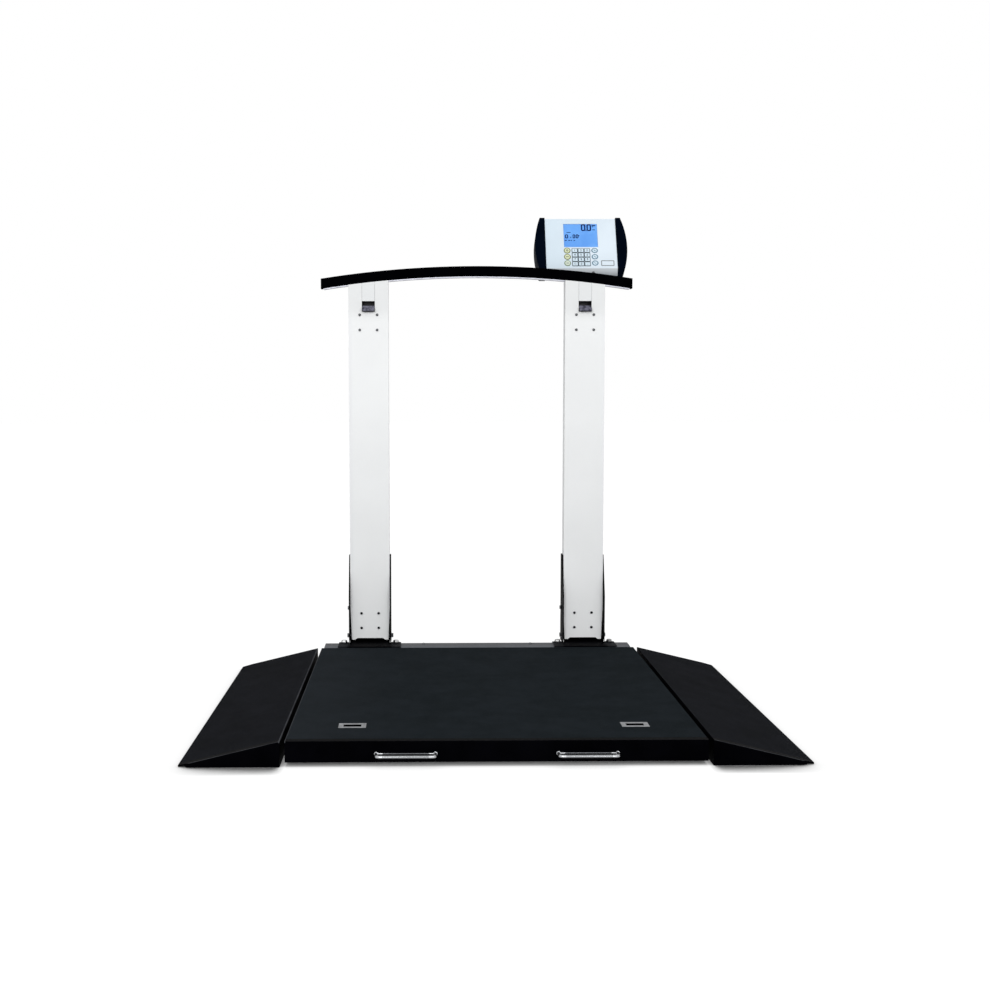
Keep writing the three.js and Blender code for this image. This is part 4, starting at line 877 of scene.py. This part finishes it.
CONTACT = 60  # how far ahead of the ramps the floor darkens
CONTACT_FADE = 25
UNDER = 300  # how far the dark reaches below the object
LAMP_SIZE = 2.2
LENS = 46.92
LENS_SHIFT = 0.0584
CAMERA_AT = (-0.1542, -3.2312, 0.8035)  # metres from the middle of the deck and the floor
CAMERA_YAW = -0.0097
CAMERA_PITCH = -0.0793
CAMERA_ROLL = -0.0017


def seen_rays(tree):
    """1 for rays that reach the camera directly, by a reflection or through glass."""
    path = tree.nodes.new("ShaderNodeLightPath")
    seen = math_node(tree, "MAXIMUM", path.outputs["Is Camera Ray"], path.outputs["Is Glossy Ray"])
    return math_node(tree, "MAXIMUM", seen, path.outputs["Is Transmission Ray"])


def mixed_shader(tree, share, first, second):
    pick = tree.nodes.new("ShaderNodeMixShader")
    for socket, source in zip(pick.inputs, (share, first.outputs[0], second.outputs[0])):
        tree.links.new(source, socket)
    return pick


def open_sky(tree, distance, low, high, towards):
    """0 to 1 as the object within a distance leaves the floor from low to high open towards a side."""
    node = tree.nodes.new("ShaderNodeAmbientOcclusion")
    node.samples = 20
    node.inputs["Distance"].default_value = distance * MM
    side = tree.nodes.new("ShaderNodeCombineXYZ")
    for socket, value in zip(side.inputs, towards):
        socket.default_value = value
    tree.links.new(side.outputs[0], node.inputs["Normal"])
    share = tree.nodes.new("ShaderNodeMapRange")
    share.inputs["From Min"].default_value = low
    share.inputs["From Max"].default_value = high
    tree.links.new(node.outputs["AO"], share.inputs["Value"])
    return math_node(tree, "POWER", share.outputs["Result"], 0.75)


def stage_white(name):
    """White to the camera and in reflections, with a painted shadow from ambient occlusion below the object
    and ahead of its ramps; a plain pale floor for the light."""
    material = bpy.data.materials.new(name)
    material.use_nodes = True
    tree = material.node_tree
    tree.nodes.clear()
    link = tree.links.new
    out = tree.nodes.new("ShaderNodeOutputMaterial")
    plain = tree.nodes.new("ShaderNodeBsdfDiffuse")
    plain.inputs["Color"].default_value = (0.8, 0.8, 0.8, 1)
    place = tree.nodes.new("ShaderNodeTexCoord")
    parts = tree.nodes.new("ShaderNodeSeparateXYZ")
    link(place.outputs["Object"], parts.inputs[0])
    beside = tree.nodes.new("ShaderNodeMapRange")
    beside.inputs["From Min"].default_value = DECK_HALF * MM
    beside.inputs["From Max"].default_value = (DECK_HALF + CONTACT_FADE) * MM
    link(math_node(tree, "ABSOLUTE", parts.outputs["X"], 0.0), beside.inputs["Value"])
    # painted shadow: the floor's glow darkened by ambient occlusion near and below the object
    near = math_node(tree, "POWER", open_sky(tree, CONTACT, 0.5, 1.0, (0, 1, 0)), beside.outputs["Result"])
    far = open_sky(tree, UNDER, 0.0, 0.62, (0, 0, 1))
    faint = tree.nodes.new("ShaderNodeBsdfDiffuse")
    faint.inputs["Color"].default_value = (0.05, 0.05, 0.05, 1)
    glow = tree.nodes.new("ShaderNodeEmission")
    link(math_node(tree, "MULTIPLY", near, far), glow.inputs["Strength"])
    white = tree.nodes.new("ShaderNodeAddShader")
    link(faint.outputs[0], white.inputs[0])
    link(glow.outputs[0], white.inputs[1])
    link(mixed_shader(tree, seen_rays(tree), plain, white).outputs[0], out.inputs["Surface"])
    return material


def make_floor():
    """A wide floor just below the feet."""
    mesh = bpy.data.meshes.new("floor")
    form = bmesh.new()
    bmesh.ops.create_grid(form, x_segments=1, y_segments=1, size=30)
    bmesh.ops.translate(form, verts=form.verts, vec=(0, 0, -0.0002))
    form.to_mesh(mesh)
    form.free()
    mesh.materials.append(stage_white("floor_white"))
    floor = bpy.data.objects.new("floor", mesh)
    bpy.context.scene.collection.objects.link(floor)


def make_world():
    """Soft light from all sides, and white behind the object."""
    world = bpy.data.worlds.new("studio")
    bpy.context.scene.world = world
    world.use_nodes = True
    tree = world.node_tree
    tree.nodes.clear()
    out = tree.nodes.new("ShaderNodeOutputWorld")
    soft, white = (tree.nodes.new("ShaderNodeBackground") for _ in range(2))
    for node, tone, strength in ((soft, (0.97, 0.985, 1.0, 1), 0.55), (white, (1, 1, 1, 1), 1.0)):
        node.inputs["Color"].default_value = tone
        node.inputs["Strength"].default_value = strength
    tree.links.new(mixed_shader(tree, seen_rays(tree), soft, white).outputs[0], out.inputs["Surface"])


def lamp(name, place, aim, watts):
    """A large round lamp that shines from a place at an aim, both in metres."""
    data = bpy.data.lights.new(name, "AREA")
    data.shape = "DISK"
    data.size = LAMP_SIZE
    data.energy = watts
    made = bpy.data.objects.new(name, data)
    made.location = place
    made.rotation_euler = (Vector(aim) - Vector(place)).to_track_quat("-Z", "Y").to_euler()
    bpy.context.scene.collection.objects.link(made)


def make_camera():
    """The camera of the photograph."""
    data = bpy.data.cameras.new("camera")
    data.sensor_width = 36
    data.lens = LENS
    data.shift_x = LENS_SHIFT
    data.clip_end = 100
    camera = bpy.data.objects.new("camera", data)
    x, y, z = CAMERA_AT
    look = Matrix.Rotation(CAMERA_YAW, 4, "Z") @ Matrix.Rotation(math.pi / 2 + CAMERA_PITCH, 4, "X")
    roll = Matrix.Rotation(CAMERA_ROLL, 4, "Z")
    camera.matrix_world = Matrix.Translation((x, deck_middle.y + y, z)) @ look @ roll
    bpy.context.scene.collection.objects.link(camera)
    bpy.context.scene.camera = camera


make_floor()
make_world()
lamp("key", (-1.3, -4.4, 2.0), (0, 0.4, 0.5), 84)
lamp("fill", (1.3, -4.4, 1.8), (0, 0.4, 0.45), 60)
make_camera()
bpy.context.scene.view_settings.view_transform = "Standard"
